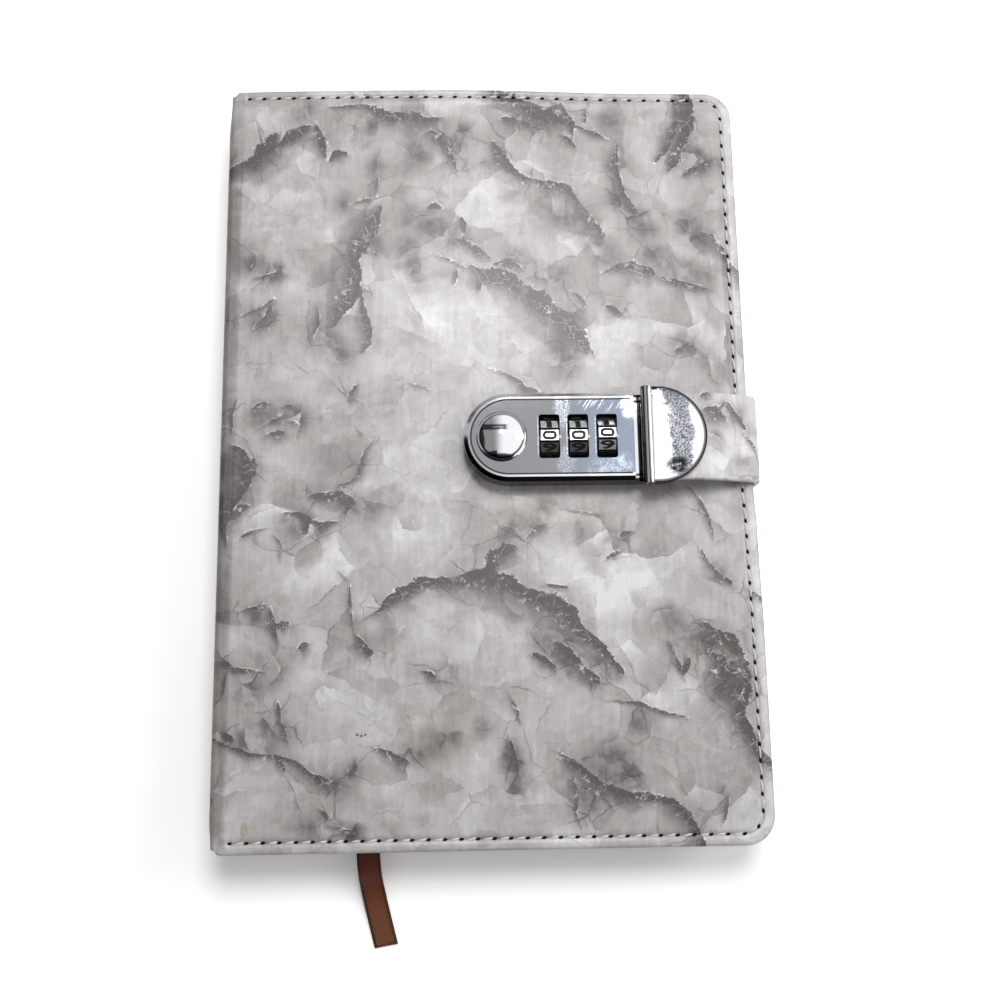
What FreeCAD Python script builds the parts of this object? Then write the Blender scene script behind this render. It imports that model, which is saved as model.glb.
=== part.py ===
import FreeCAD, Part
import math
import os

# A5 diary in a stitched soft cover, closed by a strap and a three-dial combination lock.
# Millimetres. The origin is the centre of the back cover's outer face.
# +X points to the fore edge, +Y to the head of the book, +Z up through the front cover.

V = FreeCAD.Vector

# ---- driving dimensions: book ----
cover_width = 145.0
cover_height = 215.0
skin = 0.8                  # cover material
board = 2.4
lining = 0.4                # endpaper pasted to the board
turn_in = 4.0               # width of cover material folded over the board, left uncovered
fore_corner = 8.0
edge_round = 1.6
block_thickness = 13.0
block_inset = 3.0           # the pages stop this far inside the cover at head, tail and fore edge
block_corner = 6.0
block_spine_gap = 1.0
spine_bulge = 2.4
spine_round = 1.8
spine_flat = 0.3            # straight part of the spine beside each fold
spine_card = 0.6
spine_card_inset = 6.0
mull = 0.4                  # cloth glued down the back of the pages
mull_inset = 12.0
mull_gap = 0.3
fold_gap = 0.25             # between a cover and the spine at a fold line
fold_offset = 0.15          # the fold's axis lies this far outside the skin

# ---- driving dimensions: ribbon ----
ribbon_width = 6.0
ribbon_thickness = 0.5
ribbon_slot_clearance = 0.25
ribbon_arc_share = 0.45     # part of the shorter run that each arc takes up
# centre line from the head of the pages to the free end on the table, measured from the
# back cover's outer face
ribbon_route = [
    V(-66.0, 104.2, 10.10),
    V(-60.0, 60.0, 10.10),
    V(-50.5, 5.0, 10.10),
    V(-42.0, -45.0, 10.10),
    V(-36.6, -73.0, 10.10),
    V(-34.5, -92.0, 10.10),
    V(-33.8, -111.4, 10.00),
    V(-33.6, -121.3, 0.30),
    V(-30.1, -134.6, 0.30),
]

# ---- driving dimensions: lock case, heights above the front cover's outer face ----
lock_y = 1.5
lock_edge_gap = 13.9        # from the case's end to the cover's fore edge
case_length = 66.0
case_wall = 3.0
face_thickness = 1.4
face_length = 46.5          # the flat face then steps down to the shelf
shelf_height = 4.4
shelf_thickness = 1.2
step_wall = 1.0             # between the flat face's hollow and the shelf
rim_bevel = 1.1
rim_width = 1.7
groove_width = 0.45
groove_depth = 0.5
spigot_inset = 1.6          # the part of the case that passes through the cover
cover_opening_clearance = 0.2
base_plate = 0.7
base_plate_lip = 1.0
collar_width = 0.75
collar_height = 0.7
collar_bevel = 0.25
notch_depth = 0.5           # index notches beside the windows
merge = 0.1                 # how far a rib or boss runs into the roof it is cast with

# ---- driving dimensions: dials ----
dial_count = 3
dial_pitch = 7.85
first_dial_offset = 23.3    # from the case's rounded end
dial_width = 5.2
dial_radius = 5.7           # to the corners between facets
dial_facets = 10
dial_chamfer = 0.25
dial_side_room = 0.8        # from a dial to the latch bar beside it
dial_floor_gap = 0.2
facet_groove = 0.75
facet_groove_depth = 0.35
last_dial_turn = 7.0        # degrees that the last dial is turned off its index, towards the head
window_side_gap = 0.25      # round each dial in its window
window_end_gap = 0.4
window_corner = 0.7
index_notch = 0.9
axle_radius = 1.2
running_clearance = 0.05
sleeve_radius = 2.0
sleeve_flange_radius = 2.5
sleeve_flange_gap = 0.2
sleeve_roof_gap = 0.2       # from the sleeves' flanges to the face they sit under
sleeve_notch = 1.2
axle_rib = 1.1
axle_rib_width = 4.6
axle_rib_drop = 0.6         # below the axle
rib_gap = 0.4

# ---- driving dimensions: button and latch ----
button_offset = 10.3        # from the case's rounded end
button_radius = 6.0
button_clearance = 0.15
button_stand = 1.5          # straight side above the face
button_dome = 1.7
button_flange = 0.9
button_flange_depth = 0.7
press_travel = 1.8
bar_thickness = 2.0
bar_floor_gap = 0.1
bar_width = 2.4
bar_wall_gap = 0.35
bar_start = 0.9             # the bar beside the dials starts this far right of the wedge's back
stem_offset = 1.3           # stem's left side, right of the button's centre
stem_width = 3.5
stem_depth = 3.0
wedge_gap = 0.15
wedge_tip_gap = 0.1
wedge_foot = 1.8            # flat part of the arm under the stem, before its slope
wedge_back = 2.7            # the arm starts this far left of the stem
wedge_side = 0.5            # the arm is this much wider than the stem
wedge_outer = 6.3           # the arm's far side, from the lock's centre line
wedge_overlap = 0.3
nose_width = 5.0
nose_reach = 1.4            # how far the latch reaches into the tongue
nose_drop = 0.2
nose_chamfer = 0.5
latch_arm = 1.8
latch_arm_gap = 1.5         # from the arm to the tongue
spring_wire = 0.3
button_spring_turns = 3
button_spring_radius = 1.3
button_spring_offset = 5.0
latch_spring_turns = 4
latch_spring_radius = 0.8
latch_spring_offset = -1.5
latch_spring_gaps = (0.35, 0.1)
detent_sheet = 0.3
detent_gap = 0.5            # from a dial to the comb's spine
detent_spine = 2.2
detent_finger = 2.6
detent_tip_gap = 0.2

# ---- driving dimensions: catch and strap ----
catch_offset = 1.9          # from the flat face's end to the catch plate
catch_overhang = 2.3        # the plate is this much wider than the case
catch_end_overhang = 0.1
catch_edge = 1.3
catch_crown = 0.9
crown_shift = 2.0           # the dome's top, towards the fore edge from the arc's centre
bead_radius = 1.7
bead_lift = 0.6
tongue_offset = 0.9
tongue_thickness = 2.2
tongue_width = 12.0
tongue_root = 0.8           # how far the tongue and the rivets run up into the plate
tongue_tip = 1.6            # below the latch's nose
tongue_chamfer = 0.6
tongue_clearance = 0.3
tongue_swing = 0.6          # extra room for the tongue's arc as the strap lifts it out
tongue_window_gaps = (0.5, 0.3)
clamp_thickness = 0.8
clamp_gap = 0.5             # from the tongue to the clamp plate and the strap's end
clamp_margin = 1.8          # inside the catch plate's arc
clamp_side_margin = 4.4
clamp_corner = 7.5
shelf_gap = 0.3
strap_over_case = 0.1       # the strap is this much wider than the case
strap_thickness = 2.0
strap_crest_margin = 0.4    # the strap turns down this far inside the catch plate's end
strap_crest_bend = 6.0
strap_corner_drop = 1.2     # height of the strap's outer corner above the cover
strap_edge_gap = 0.5        # between the cover's fore edge and the strap
strap_bend = 3.4            # bend radius at the strap's middle
strap_tab_length = 17.0
strap_tab_thickness = 1.2
strap_pocket_clearance = 0.1
strap_heel = 1.1            # rounding where the strap turns up
fold_half = 0.1             # half the gap that parts the strap at its fold line
rivet_radius = 1.1
rivet_head_radius = 1.9
rivet_head = 0.6
rivet_offset = 5.5
rivet_spacing = 12.0
screw_radius = 1.0
screw_head_radius = 1.7
screw_slot = (2.4, 0.4, 0.3)
boss_radius = 1.7
boss_roof = 1.2             # left above each screw's hole
boss_wall_gap = 0.25
boss_end_gap = 0.2
boss_step_gap = 0.7

# ---- places worked out from the values above ----
cover = skin + board + lining
front_inner = cover + block_thickness
total = front_inner + cover
half_w = cover_width / 2
half_h = cover_height / 2
case_right = half_w - lock_edge_gap
case_left = case_right - case_length
face_right = case_left + face_length
button_x = case_left + button_offset
first_dial_x = case_left + first_dial_offset
dial_xs = [first_dial_x + dial_pitch * i for i in range(dial_count)]
window_width = dial_width + 2 * window_side_gap
window_length = 2 * (dial_radius + window_end_gap)
case_width = 2 * (dial_radius + dial_side_room + bar_width + bar_wall_gap + case_wall)
catch_width = case_width + catch_overhang
strap_width = case_width + strap_over_case
shelf_z = total + shelf_height
plate_top_z = total - cover + lining + base_plate
axle_z = plate_top_z + dial_floor_gap + dial_radius
ceiling_z = axle_z + sleeve_flange_radius + sleeve_roof_gap
face_z = ceiling_z + face_thickness
bar_z = plate_top_z + bar_floor_gap
bar_top_z = bar_z + bar_thickness
nose_z = bar_top_z - nose_drop
catch_left = face_right + catch_offset
tongue_x = catch_left + tongue_offset
clamp_z = shelf_z + shelf_gap
flap_z = clamp_z + clamp_thickness
catch_z = flap_z + strap_thickness
disc_x = case_right + catch_end_overhang - catch_width / 2
strap_x = half_w + strap_edge_gap
strap_fold_z = total - strap_bend / 2
stem_x = button_x + stem_offset
toe_x = stem_x + wedge_foot + bar_thickness
wedge_x = stem_x - wedge_back


def save(node, *solids):
    shape = solids[0] if len(solids) == 1 else Part.makeCompound(list(solids))
    shape.exportStep(f"parts/{node}.step")
    print(f"{node}: {len(shape.Solids)} solid, {shape.Volume:.1f} mm3, valid {shape.isValid()}")


def box(x0, x1, y0, y1, z0, z1):
    return Part.makeBox(x1 - x0, y1 - y0, z1 - z0, V(x0, y0, z0))


def cylinder(radius, x, y, z0, z1):
    return Part.makeCylinder(radius, z1 - z0, V(x, y, z0))


def cylinder_x(radius, x0, x1, y, z):
    return Part.makeCylinder(radius, x1 - x0, V(x0, y, z), V(1, 0, 0))


def line(a, b):
    return Part.LineSegment(a, b).toShape()


def arc(a, middle, b):
    return Part.Arc(a, middle, b).toShape()


def polygon(points):
    return Part.Face(Part.makePolygon(points + points[:1]))


def fused(*shapes):
    return shapes[0].multiFuse(list(shapes[1:])).removeSplitter()


def turned_z(point, centre, degrees):
    angle = math.radians(degrees)
    offset = point - centre
    return centre + V(
        offset.x * math.cos(angle) - offset.y * math.sin(angle),
        offset.x * math.sin(angle) + offset.y * math.cos(angle),
        0,
    )


def rounded_rectangle(x0, x1, y0, y1, z, radii):
    """Wire at height z; radii are for the corners x0y0, x1y0, x1y1 and x0y1."""
    corners = [V(x0, y0, z), V(x1, y0, z), V(x1, y1, z), V(x0, y1, z)]
    inward = [V(1, 1, 0), V(-1, 1, 0), V(-1, -1, 0), V(1, -1, 0)]
    starts = []
    arcs = []
    for corner, direction, radius, start_angle in zip(corners, inward, radii, (180, 270, 0, 90)):
        centre = corner + direction * radius
        first = turned_z(centre + V(radius, 0, 0), centre, start_angle)
        middle = turned_z(centre + V(radius, 0, 0), centre, start_angle + 45)
        last = turned_z(centre + V(radius, 0, 0), centre, start_angle + 90)
        starts.append((first, last))
        arcs.append(arc(first, middle, last))
    edges = []
    for i in range(4):
        edges.append(arcs[i])
        edges.append(line(starts[i][1], starts[(i + 1) % 4][0]))
    return Part.Wire(edges)


def plate(x0, x1, y0, y1, z0, z1, radii):
    return Part.Face(rounded_rectangle(x0, x1, y0, y1, z0, radii)).extrude(V(0, 0, z1 - z0))


def stadium(inset, z0, z1):
    """The lock's outline, drawn in by inset, between two heights."""
    end = case_width / 2 - inset
    left = V(case_left + case_width / 2, lock_y, z0)
    right = V(case_right - case_width / 2, lock_y, z0)
    edges = [
        line(left + V(0, -end, 0), right + V(0, -end, 0)),
        arc(right + V(0, -end, 0), right + V(end, 0, 0), right + V(0, end, 0)),
        line(right + V(0, end, 0), left + V(0, end, 0)),
        arc(left + V(0, end, 0), left + V(-end, 0, 0), left + V(0, -end, 0)),
    ]
    return Part.Face(Part.Wire(edges)).extrude(V(0, 0, z1 - z0))


def edges_at(shape, height, keep=lambda centre: True):
    """Edges that lie wholly at one height and pass the test on their middle."""
    found = []
    for edge in shape.Edges:
        bounds = edge.BoundBox
        level = abs(bounds.ZMin - height) < 1e-6 and abs(bounds.ZMax - height) < 1e-6
        if level and keep(bounds.Center):
            found.append(edge)
    return found


# ---- covers ----

def cover_slab(inset, low, high, outer, rounding):
    """A cover between two heights, its outer face at one of them rounded except at the fold."""
    fore = fore_corner - inset
    fold = -half_w + fold_gap
    slab = plate(
        fold - 2 * fore,
        half_w - inset,
        -half_h + inset,
        half_h - inset,
        low,
        high,
        (fore,) * 4,
    )
    if rounding:
        slab = slab.makeFillet(rounding, edges_at(slab, outer, lambda c: c.x > fold - fore))
    return slab.cut(box(fold - 3 * fore, fold, -half_h, half_h, low, high))


def lining_sheet(low, high):
    radius = max(fore_corner - turn_in, 0.5)
    return plate(
        -half_w + fold_gap,
        half_w - turn_in,
        -half_h + turn_in,
        half_h - turn_in,
        low,
        high,
        (0.5, radius, radius, 0.5),
    )


def cover_layers(outer, direction):
    """Skin, board and lining of one cover. direction points from its outer face inwards."""
    levels = [outer, outer + direction * skin, outer + direction * (skin + board)]
    inner = outer + direction * cover
    whole = cover_slab(0, min(outer, inner), max(outer, inner), outer, edge_round)
    core = cover_slab(skin, min(levels[1:]), max(levels[1:]), levels[1], 0)
    sheet = lining_sheet(min(levels[2], inner), max(levels[2], inner))
    return whole.cut(core).cut(sheet), core, sheet


def spine_profile(depth):
    """The spine's hollow, drawn in by depth: two shoulder arcs and a flatter arc between them."""
    y = -half_h
    end_x = -half_w - fold_gap / 2
    middle = total / 2
    shoulder = V(end_x - spine_flat, y, total - spine_round)
    run = shoulder.x + half_w + spine_bulge
    rise = shoulder.z - middle
    back_radius = (run ** 2 + rise ** 2 - spine_round ** 2) / (2 * (run - spine_round))
    back_centre = V(-half_w - spine_bulge + back_radius, y, middle)
    outward = (shoulder - back_centre).normalize()
    radius = spine_round - depth
    half_turn = (outward + V(0, 0, 1)).normalize()
    upper = [shoulder + V(0, 0, radius), shoulder + half_turn * radius, shoulder + outward * radius]
    lower = [V(p.x, y, total - p.z) for p in upper]
    crown = V(-half_w - spine_bulge + depth, y, middle)
    wire = Part.Wire([
        line(V(end_x, y, total - depth), upper[0]),
        arc(*upper),
        arc(upper[2], crown, lower[2]),
        arc(lower[2], lower[1], lower[0]),
        line(lower[0], V(end_x, y, depth)),
        line(V(end_x, y, depth), V(end_x, y, total - depth)),
    ])
    return Part.Face(wire).extrude(V(0, cover_height, 0))


def make_spine():
    outer = spine_profile(0)
    inner = spine_profile(skin)
    card_inner = spine_profile(skin + spine_card)
    save("spine_skin", outer.cut(inner))
    end = half_h - spine_card_inset
    card_span = box(-half_w - 2 * spine_bulge, -half_w - fold_gap, -end, end, cover, front_inner)
    save("spine_card", inner.cut(card_inner).common(card_span))


def strap_pocket(clearance):
    """Where the strap's sewn end lies inside the back cover."""
    return box(
        half_w - strap_tab_length - clearance,
        half_w,
        lock_y - strap_width / 2 - clearance,
        lock_y + strap_width / 2 + clearance,
        cover - lining - strap_tab_thickness,
        cover - lining,
    )


def make_back_cover():
    back_skin, back_board, back_lining = cover_layers(0, 1)
    pocket = strap_pocket(strap_pocket_clearance)
    save("back_skin", back_skin.cut(pocket))
    save("back_board", back_board.cut(pocket))
    save("back_lining", back_lining)


def make_front_cover():
    front_skin, front_board, front_lining = cover_layers(total, -1)
    opening = stadium(spigot_inset - cover_opening_clearance, total - cover, total + 1)
    recess = stadium(
        spigot_inset - base_plate_lip - cover_opening_clearance,
        front_inner + lining - 1,
        plate_top_z,
    )
    save("front_skin", front_skin.cut(opening))
    save("front_board", front_board.cut(opening).cut(recess))
    save("front_lining", front_lining)


# ---- pages and ribbon ----

def ribbon_line(points, report):
    """Straight runs joined by tangent arcs. Returns the edges and may print each arc's radius."""
    edges = []
    start = points[0]
    for before, corner, after in zip(points, points[1:], points[2:]):
        back = before - corner
        ahead = after - corner
        reach = ribbon_arc_share * min(back.Length, ahead.Length)
        turn = math.pi - back.getAngle(ahead)
        back.normalize()
        ahead.normalize()
        first = corner + back * reach
        last = corner + ahead * reach
        if turn < 1e-4:
            edges.append(line(start, corner))
            start = corner
            continue
        radius = reach / math.tan(turn / 2)
        bisector = back + ahead
        bisector.normalize()
        centre = corner + bisector * (radius / math.cos(turn / 2))
        middle = centre - bisector * radius
        if report:
            print(f"ribbon arc radius {radius:.1f} mm")
        edges.append(line(start, first))
        edges.append(arc(first, middle, last))
        start = last
    edges.append(line(start, points[-1]))
    return edges


def offset_outline(points, half, normal, report):
    """Closed face on both sides of a line that lies in a plane."""
    middle = Part.Wire(ribbon_line(points, report))
    sides = []
    for sign in (1, -1):
        side = []
        for edge in middle.Edges:
            first, last = edge.FirstParameter, edge.LastParameter
            places = [edge.valueAt(t) for t in (first, (first + last) / 2, last)]
            tangents = [edge.tangentAt(t) for t in (first, (first + last) / 2, last)]
            ends = [place + tangent.cross(normal) * (sign * half) for place, tangent in zip(places, tangents)]
            straight = isinstance(edge.Curve, (Part.Line, Part.LineSegment))
            side.append(line(ends[0], ends[2]) if straight else arc(*ends))
        sides.append(side)
    left_start = sides[0][0].firstVertex().Point
    right_start = sides[1][0].firstVertex().Point
    left_end = sides[0][-1].lastVertex().Point
    right_end = sides[1][-1].lastVertex().Point
    edges = sides[0] + [line(left_end, right_end)] + sides[1] + [line(right_start, left_start)]
    return Part.Face(Part.Wire(Part.__sortEdges__(edges)))


def ribbon_solid(extra, report=False):
    """The ribbon's plan outline and its side outline, crossed."""
    plan_points = [V(p.x, p.y, -5) for p in ribbon_route]
    side_points = [V(-half_w, p.y, p.z) for p in ribbon_route]
    flat = [side_points[0]] + [p for p in side_points[1:] if p.y < -half_h + 20]
    plan = offset_outline(plan_points, ribbon_width / 2 + extra, V(0, 0, 1), report)
    plan = plan.extrude(V(0, 0, total + 10))
    side = offset_outline(flat, ribbon_thickness / 2 + extra, V(1, 0, 0), report)
    side = side.extrude(V(cover_width, 0, 0))
    return plan.common(side)


def make_pages():
    radii = (0.3, block_corner, block_corner, 0.3)
    block = plate(
        -half_w + block_spine_gap,
        half_w - block_inset,
        -half_h + block_inset,
        half_h - block_inset,
        cover,
        front_inner,
        radii,
    )
    slot_ends = box(-half_w, half_w, -half_h + block_inset - 1, half_h, cover + 1, front_inner - 1)
    slot = ribbon_solid(ribbon_slot_clearance).common(slot_ends)
    save("page_block", block.cut(slot))
    save("ribbon", ribbon_solid(0, report=True))
    back = -half_w + block_spine_gap
    end = half_h - mull_inset
    save("block_mull", box(back - mull, back, -end, end, cover + mull_gap, front_inner - mull_gap))


# ---- lock ----

boss_y = lock_y + case_width / 2 - case_wall - boss_wall_gap - boss_radius
screw_places = [
    V(button_x + button_radius + boss_radius, boss_y, 0),
    V(face_right - boss_step_gap - boss_radius, boss_y, 0),
    V(case_right - case_wall - boss_end_gap - boss_radius, lock_y, 0),
]


def dial_window(x):
    """One dial's window with the index notch at its right."""
    y0 = lock_y - window_length / 2
    opening = plate(
        x - window_width / 2,
        x + window_width / 2,
        y0,
        y0 + window_length,
        ceiling_z - 1,
        face_z + 1,
        (window_corner,) * 4,
    )
    notch = cylinder(index_notch / 2, x + window_width / 2, lock_y, face_z - notch_depth, face_z + 1)
    return opening.fuse(notch)


def rib_places():
    left = dial_xs[0] - dial_width / 2 - rib_gap - axle_rib
    right = dial_xs[-1] + dial_pitch - dial_width / 2 - sleeve_flange_gap + rib_gap
    return left, right


def case_body():
    side = stadium(0, total, face_z)
    side = side.makeChamfer(rim_bevel, edges_at(side, face_z))
    near, far = lock_y - case_width, lock_y + case_width
    above_shelf = box(face_right, case_right + 1, near, far, shelf_z, face_z + 1)
    spigot = stadium(spigot_inset, plate_top_z, total)
    body = fused(side.cut(above_shelf), spigot)
    hollow = stadium(case_wall, plate_top_z - 1, ceiling_z)
    low_roof = box(face_right - step_wall, case_right + 1, near, far, shelf_z - shelf_thickness, face_z + 1)
    return body.cut(hollow.cut(low_roof))


def roof_over(place):
    return ceiling_z if place.x < face_right else shelf_z - shelf_thickness


def case_groove():
    ring = stadium(rim_width, face_z - groove_depth, face_z + 1)
    ring = ring.cut(stadium(rim_width + groove_width, face_z - groove_depth, face_z + 1))
    return ring.common(box(case_left, face_right - 0.8, -half_h, half_h, face_z - 1, face_z + 2))


def make_case():
    case = case_body().cut(case_groove())
    for x in dial_xs:
        case = case.cut(dial_window(x))
    collar_radius = button_radius + button_clearance
    collar = cylinder(collar_radius + collar_width, button_x, lock_y, face_z, face_z + collar_height)
    collar = collar.makeChamfer(collar_bevel, edges_at(collar, face_z + collar_height))
    case = fused(case, collar).cut(cylinder(collar_radius, button_x, lock_y, ceiling_z - 1, face_z + 2))
    for place in screw_places:
        roof = roof_over(place)
        case = case.fuse(cylinder(boss_radius, place.x, place.y, plate_top_z, roof + merge))
        case = case.cut(cylinder(screw_radius, place.x, place.y, plate_top_z, roof - boss_roof))
    for x in rib_places():
        rib = box(
            x,
            x + axle_rib,
            lock_y - axle_rib_width / 2,
            lock_y + axle_rib_width / 2,
            axle_z - axle_radius - axle_rib_drop,
            ceiling_z + merge,
        )
        case = case.fuse(rib)
    left, right = rib_places()
    case = case.cut(cylinder_x(axle_radius, left, right + axle_rib, lock_y, axle_z))
    tongue_slot = box(
        tongue_x - tongue_clearance,
        tongue_x + tongue_thickness + tongue_clearance + tongue_swing,
        lock_y - tongue_width / 2 - tongue_clearance,
        lock_y + tongue_width / 2 + tongue_clearance,
        shelf_z - shelf_thickness - 1,
        shelf_z + 1,
    )
    save("lock_case", case.cut(tongue_slot).removeSplitter())
    save("dial_axle", cylinder_x(axle_radius, left, right + axle_rib, lock_y, axle_z))


def make_base_plate():
    low = front_inner + lining
    slot_length, slot_width, slot_depth = screw_slot
    sheet = stadium(spigot_inset - base_plate_lip, low, plate_top_z)
    screws = []
    for place in screw_places:
        head = Part.makeCone(screw_head_radius, screw_radius, base_plate, V(place.x, place.y, low))
        shank = cylinder(screw_radius, place.x, place.y, low, roof_over(place) - boss_roof)
        screw = fused(head, shank)
        slot = box(
            place.x - slot_length / 2,
            place.x + slot_length / 2,
            place.y - slot_width / 2,
            place.y + slot_width / 2,
            low,
            low + slot_depth,
        )
        sheet = sheet.cut(head).cut(shank)
        screws.append(screw.cut(slot))
    save("lock_base_plate", sheet)
    save("lock_screws", *screws)


def dial_wheel(x, turn):
    """A ten-sided dial with a groove along each corner."""
    radius = dial_radius
    step = 360 / dial_facets
    centre = V(0, 0, 0)
    corners = [turned_z(V(radius, 0, 0), centre, step * (i + 0.5)) for i in range(dial_facets)]
    wheel = polygon(corners).extrude(V(0, 0, dial_width))
    wheel = wheel.makeChamfer(dial_chamfer, edges_at(wheel, 0) + edges_at(wheel, dial_width))
    for i in range(dial_facets):
        half = facet_groove / 2
        groove = box(radius - facet_groove_depth, radius + 1, -half, half, 0, dial_width)
        groove.rotate(centre, V(0, 0, 1), step * (i + 0.5))
        wheel = wheel.cut(groove)
    wheel = wheel.cut(Part.makeCylinder(sleeve_radius, dial_width))
    wheel.rotate(centre, V(0, 1, 0), 90)
    wheel.rotate(centre, V(1, 0, 0), -turn)
    wheel.translate(V(x - dial_width / 2, lock_y, axle_z))
    return wheel


def code_sleeve(x):
    """Tube through one dial, with a notched flange beside it that the latch reads."""
    left = x - dial_width / 2
    flange_left = left + dial_width + sleeve_flange_gap / 2
    flange_right = left + dial_pitch - sleeve_flange_gap
    tube = cylinder_x(sleeve_radius, left, flange_right, lock_y, axle_z)
    flange = cylinder_x(sleeve_flange_radius, flange_left, flange_right, lock_y, axle_z)
    notch = box(
        flange_left,
        flange_right,
        lock_y - sleeve_flange_radius - 1,
        lock_y - sleeve_radius,
        axle_z - sleeve_notch / 2,
        axle_z + sleeve_notch / 2,
    )
    bore = cylinder_x(axle_radius + running_clearance, left - 1, flange_right + 1, lock_y, axle_z)
    return fused(tube, flange).cut(notch).cut(bore)


def make_dials():
    for i, x in enumerate(dial_xs):
        turn = last_dial_turn if i == dial_count - 1 else 0
        save(f"dial_wheel_{i + 1}", dial_wheel(x, turn))
        save(f"code_sleeve_{i + 1}", code_sleeve(x))


def coil_spring(base, direction, length, mean_radius, turns):
    """Compression spring of square wire standing on base."""
    height = length - spring_wire
    helix = Part.makeHelix(height / turns, height, mean_radius)
    half = spring_wire / 2
    section = Part.makePolygon([
        V(mean_radius - half, 0, -half),
        V(mean_radius + half, 0, -half),
        V(mean_radius + half, 0, half),
        V(mean_radius - half, 0, half),
        V(mean_radius - half, 0, -half),
    ])
    spring = Part.Wire(helix.Edges).makePipeShell([section], True, True)
    spring.translate(V(0, 0, half))
    spring.Placement = FreeCAD.Placement(base, FreeCAD.Rotation(V(0, 0, 1), direction)) * spring.Placement
    return spring


def make_button():
    top = face_z + button_stand
    cap = cylinder(button_radius, button_x, lock_y, ceiling_z - button_flange, top)
    flange_top = ceiling_z - 0.1
    flange_low = flange_top - button_flange_depth
    flange = cylinder(button_radius + button_flange, button_x, lock_y, flange_low, flange_top)
    ball = (button_radius ** 2 + button_dome ** 2) / (2 * button_dome)
    dome = Part.makeSphere(ball, V(button_x, lock_y, top + button_dome - ball), V(1, 0, 0))
    dome = dome.common(cylinder(button_radius, button_x, lock_y, top, top + button_dome + 1))
    slope = toe_x - bar_thickness + wedge_gap + bar_top_z      # x + z along the stem's 45 degree face
    tip_z = bar_top_z - wedge_tip_gap
    side = lock_y - stem_depth / 2
    stem = polygon([
        V(slope - tip_z, side, tip_z),
        V(stem_x + stem_width, side, tip_z),
        V(stem_x + stem_width, side, ceiling_z),
        V(stem_x, side, ceiling_z),
        V(stem_x, side, slope - stem_x),
    ]).extrude(V(0, stem_depth, 0))
    save("button", fused(cap, flange, dome, stem))
    seat = V(button_x, lock_y + button_spring_offset, plate_top_z)
    length = flange_low - plate_top_z
    spring = coil_spring(seat, V(0, 0, 1), length, button_spring_radius, button_spring_turns)
    save("button_spring", spring)


def make_latch():
    """Bar beside the dials: a wedge arm under the button, and a nose in the tongue."""
    rail_y = lock_y - case_width / 2 + case_wall + bar_wall_gap
    inner_y = lock_y + stem_depth / 2 + wedge_side
    wedge = polygon([
        V(wedge_x, lock_y - wedge_outer, bar_z),
        V(toe_x, lock_y - wedge_outer, bar_z),
        V(toe_x - bar_thickness, lock_y - wedge_outer, bar_top_z),
        V(wedge_x, lock_y - wedge_outer, bar_top_z),
    ]).extrude(V(0, wedge_outer + inner_y - lock_y, 0))
    bar_x = wedge_x + wedge_back + bar_start
    arm_right = tongue_x - latch_arm_gap
    rail = box(bar_x, arm_right, rail_y, rail_y + bar_width, bar_z, bar_top_z)
    bridge_y = lock_y - wedge_outer + wedge_overlap
    bridge = box(bar_x, toe_x - bar_thickness + merge, rail_y, bridge_y, bar_z, bar_top_z)
    nose_top = nose_z + bar_thickness
    arm = box(arm_right - latch_arm, arm_right, rail_y, lock_y + nose_width / 2, bar_z, nose_top)
    tip = tongue_x + nose_reach
    nose = box(arm_right, tip, lock_y - nose_width / 2, lock_y + nose_width / 2, nose_z, nose_top)
    nose = nose.makeChamfer(nose_chamfer, edges_at(nose, nose_top, lambda c: c.x > tip - 0.01))
    save("latch_bar", fused(wedge, rail, bridge, arm, nose))
    wall_x = case_left + case_wall
    wall_gap, arm_gap = latch_spring_gaps
    base = V(wall_x + wall_gap, lock_y + latch_spring_offset, bar_z + bar_thickness / 2)
    length = wedge_x - wall_x - wall_gap - arm_gap
    spring = coil_spring(base, V(1, 0, 0), length, latch_spring_radius, latch_spring_turns)
    save("latch_spring", spring)


def make_detent_spring():
    """Flat comb screwed under the dials; one finger leans on each wheel."""
    strip_y = lock_y + dial_radius + detent_gap
    comb = box(
        dial_xs[0] - detent_spine,
        dial_xs[-1] + detent_spine,
        strip_y,
        strip_y + detent_spine,
        plate_top_z,
        plate_top_z + detent_sheet,
    )
    tip_y = lock_y + dial_radius + detent_tip_gap
    for x in dial_xs:
        left = x - detent_finger / 2
        finger = polygon([
            V(left, strip_y, plate_top_z),
            V(left, strip_y + detent_sheet, plate_top_z),
            V(left, tip_y + detent_sheet, axle_z),
            V(left, tip_y, axle_z),
        ]).extrude(V(detent_finger, 0, 0))
        comb = comb.fuse(finger)
    save("detent_spring", comb.removeSplitter())


# ---- catch and strap ----

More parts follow.
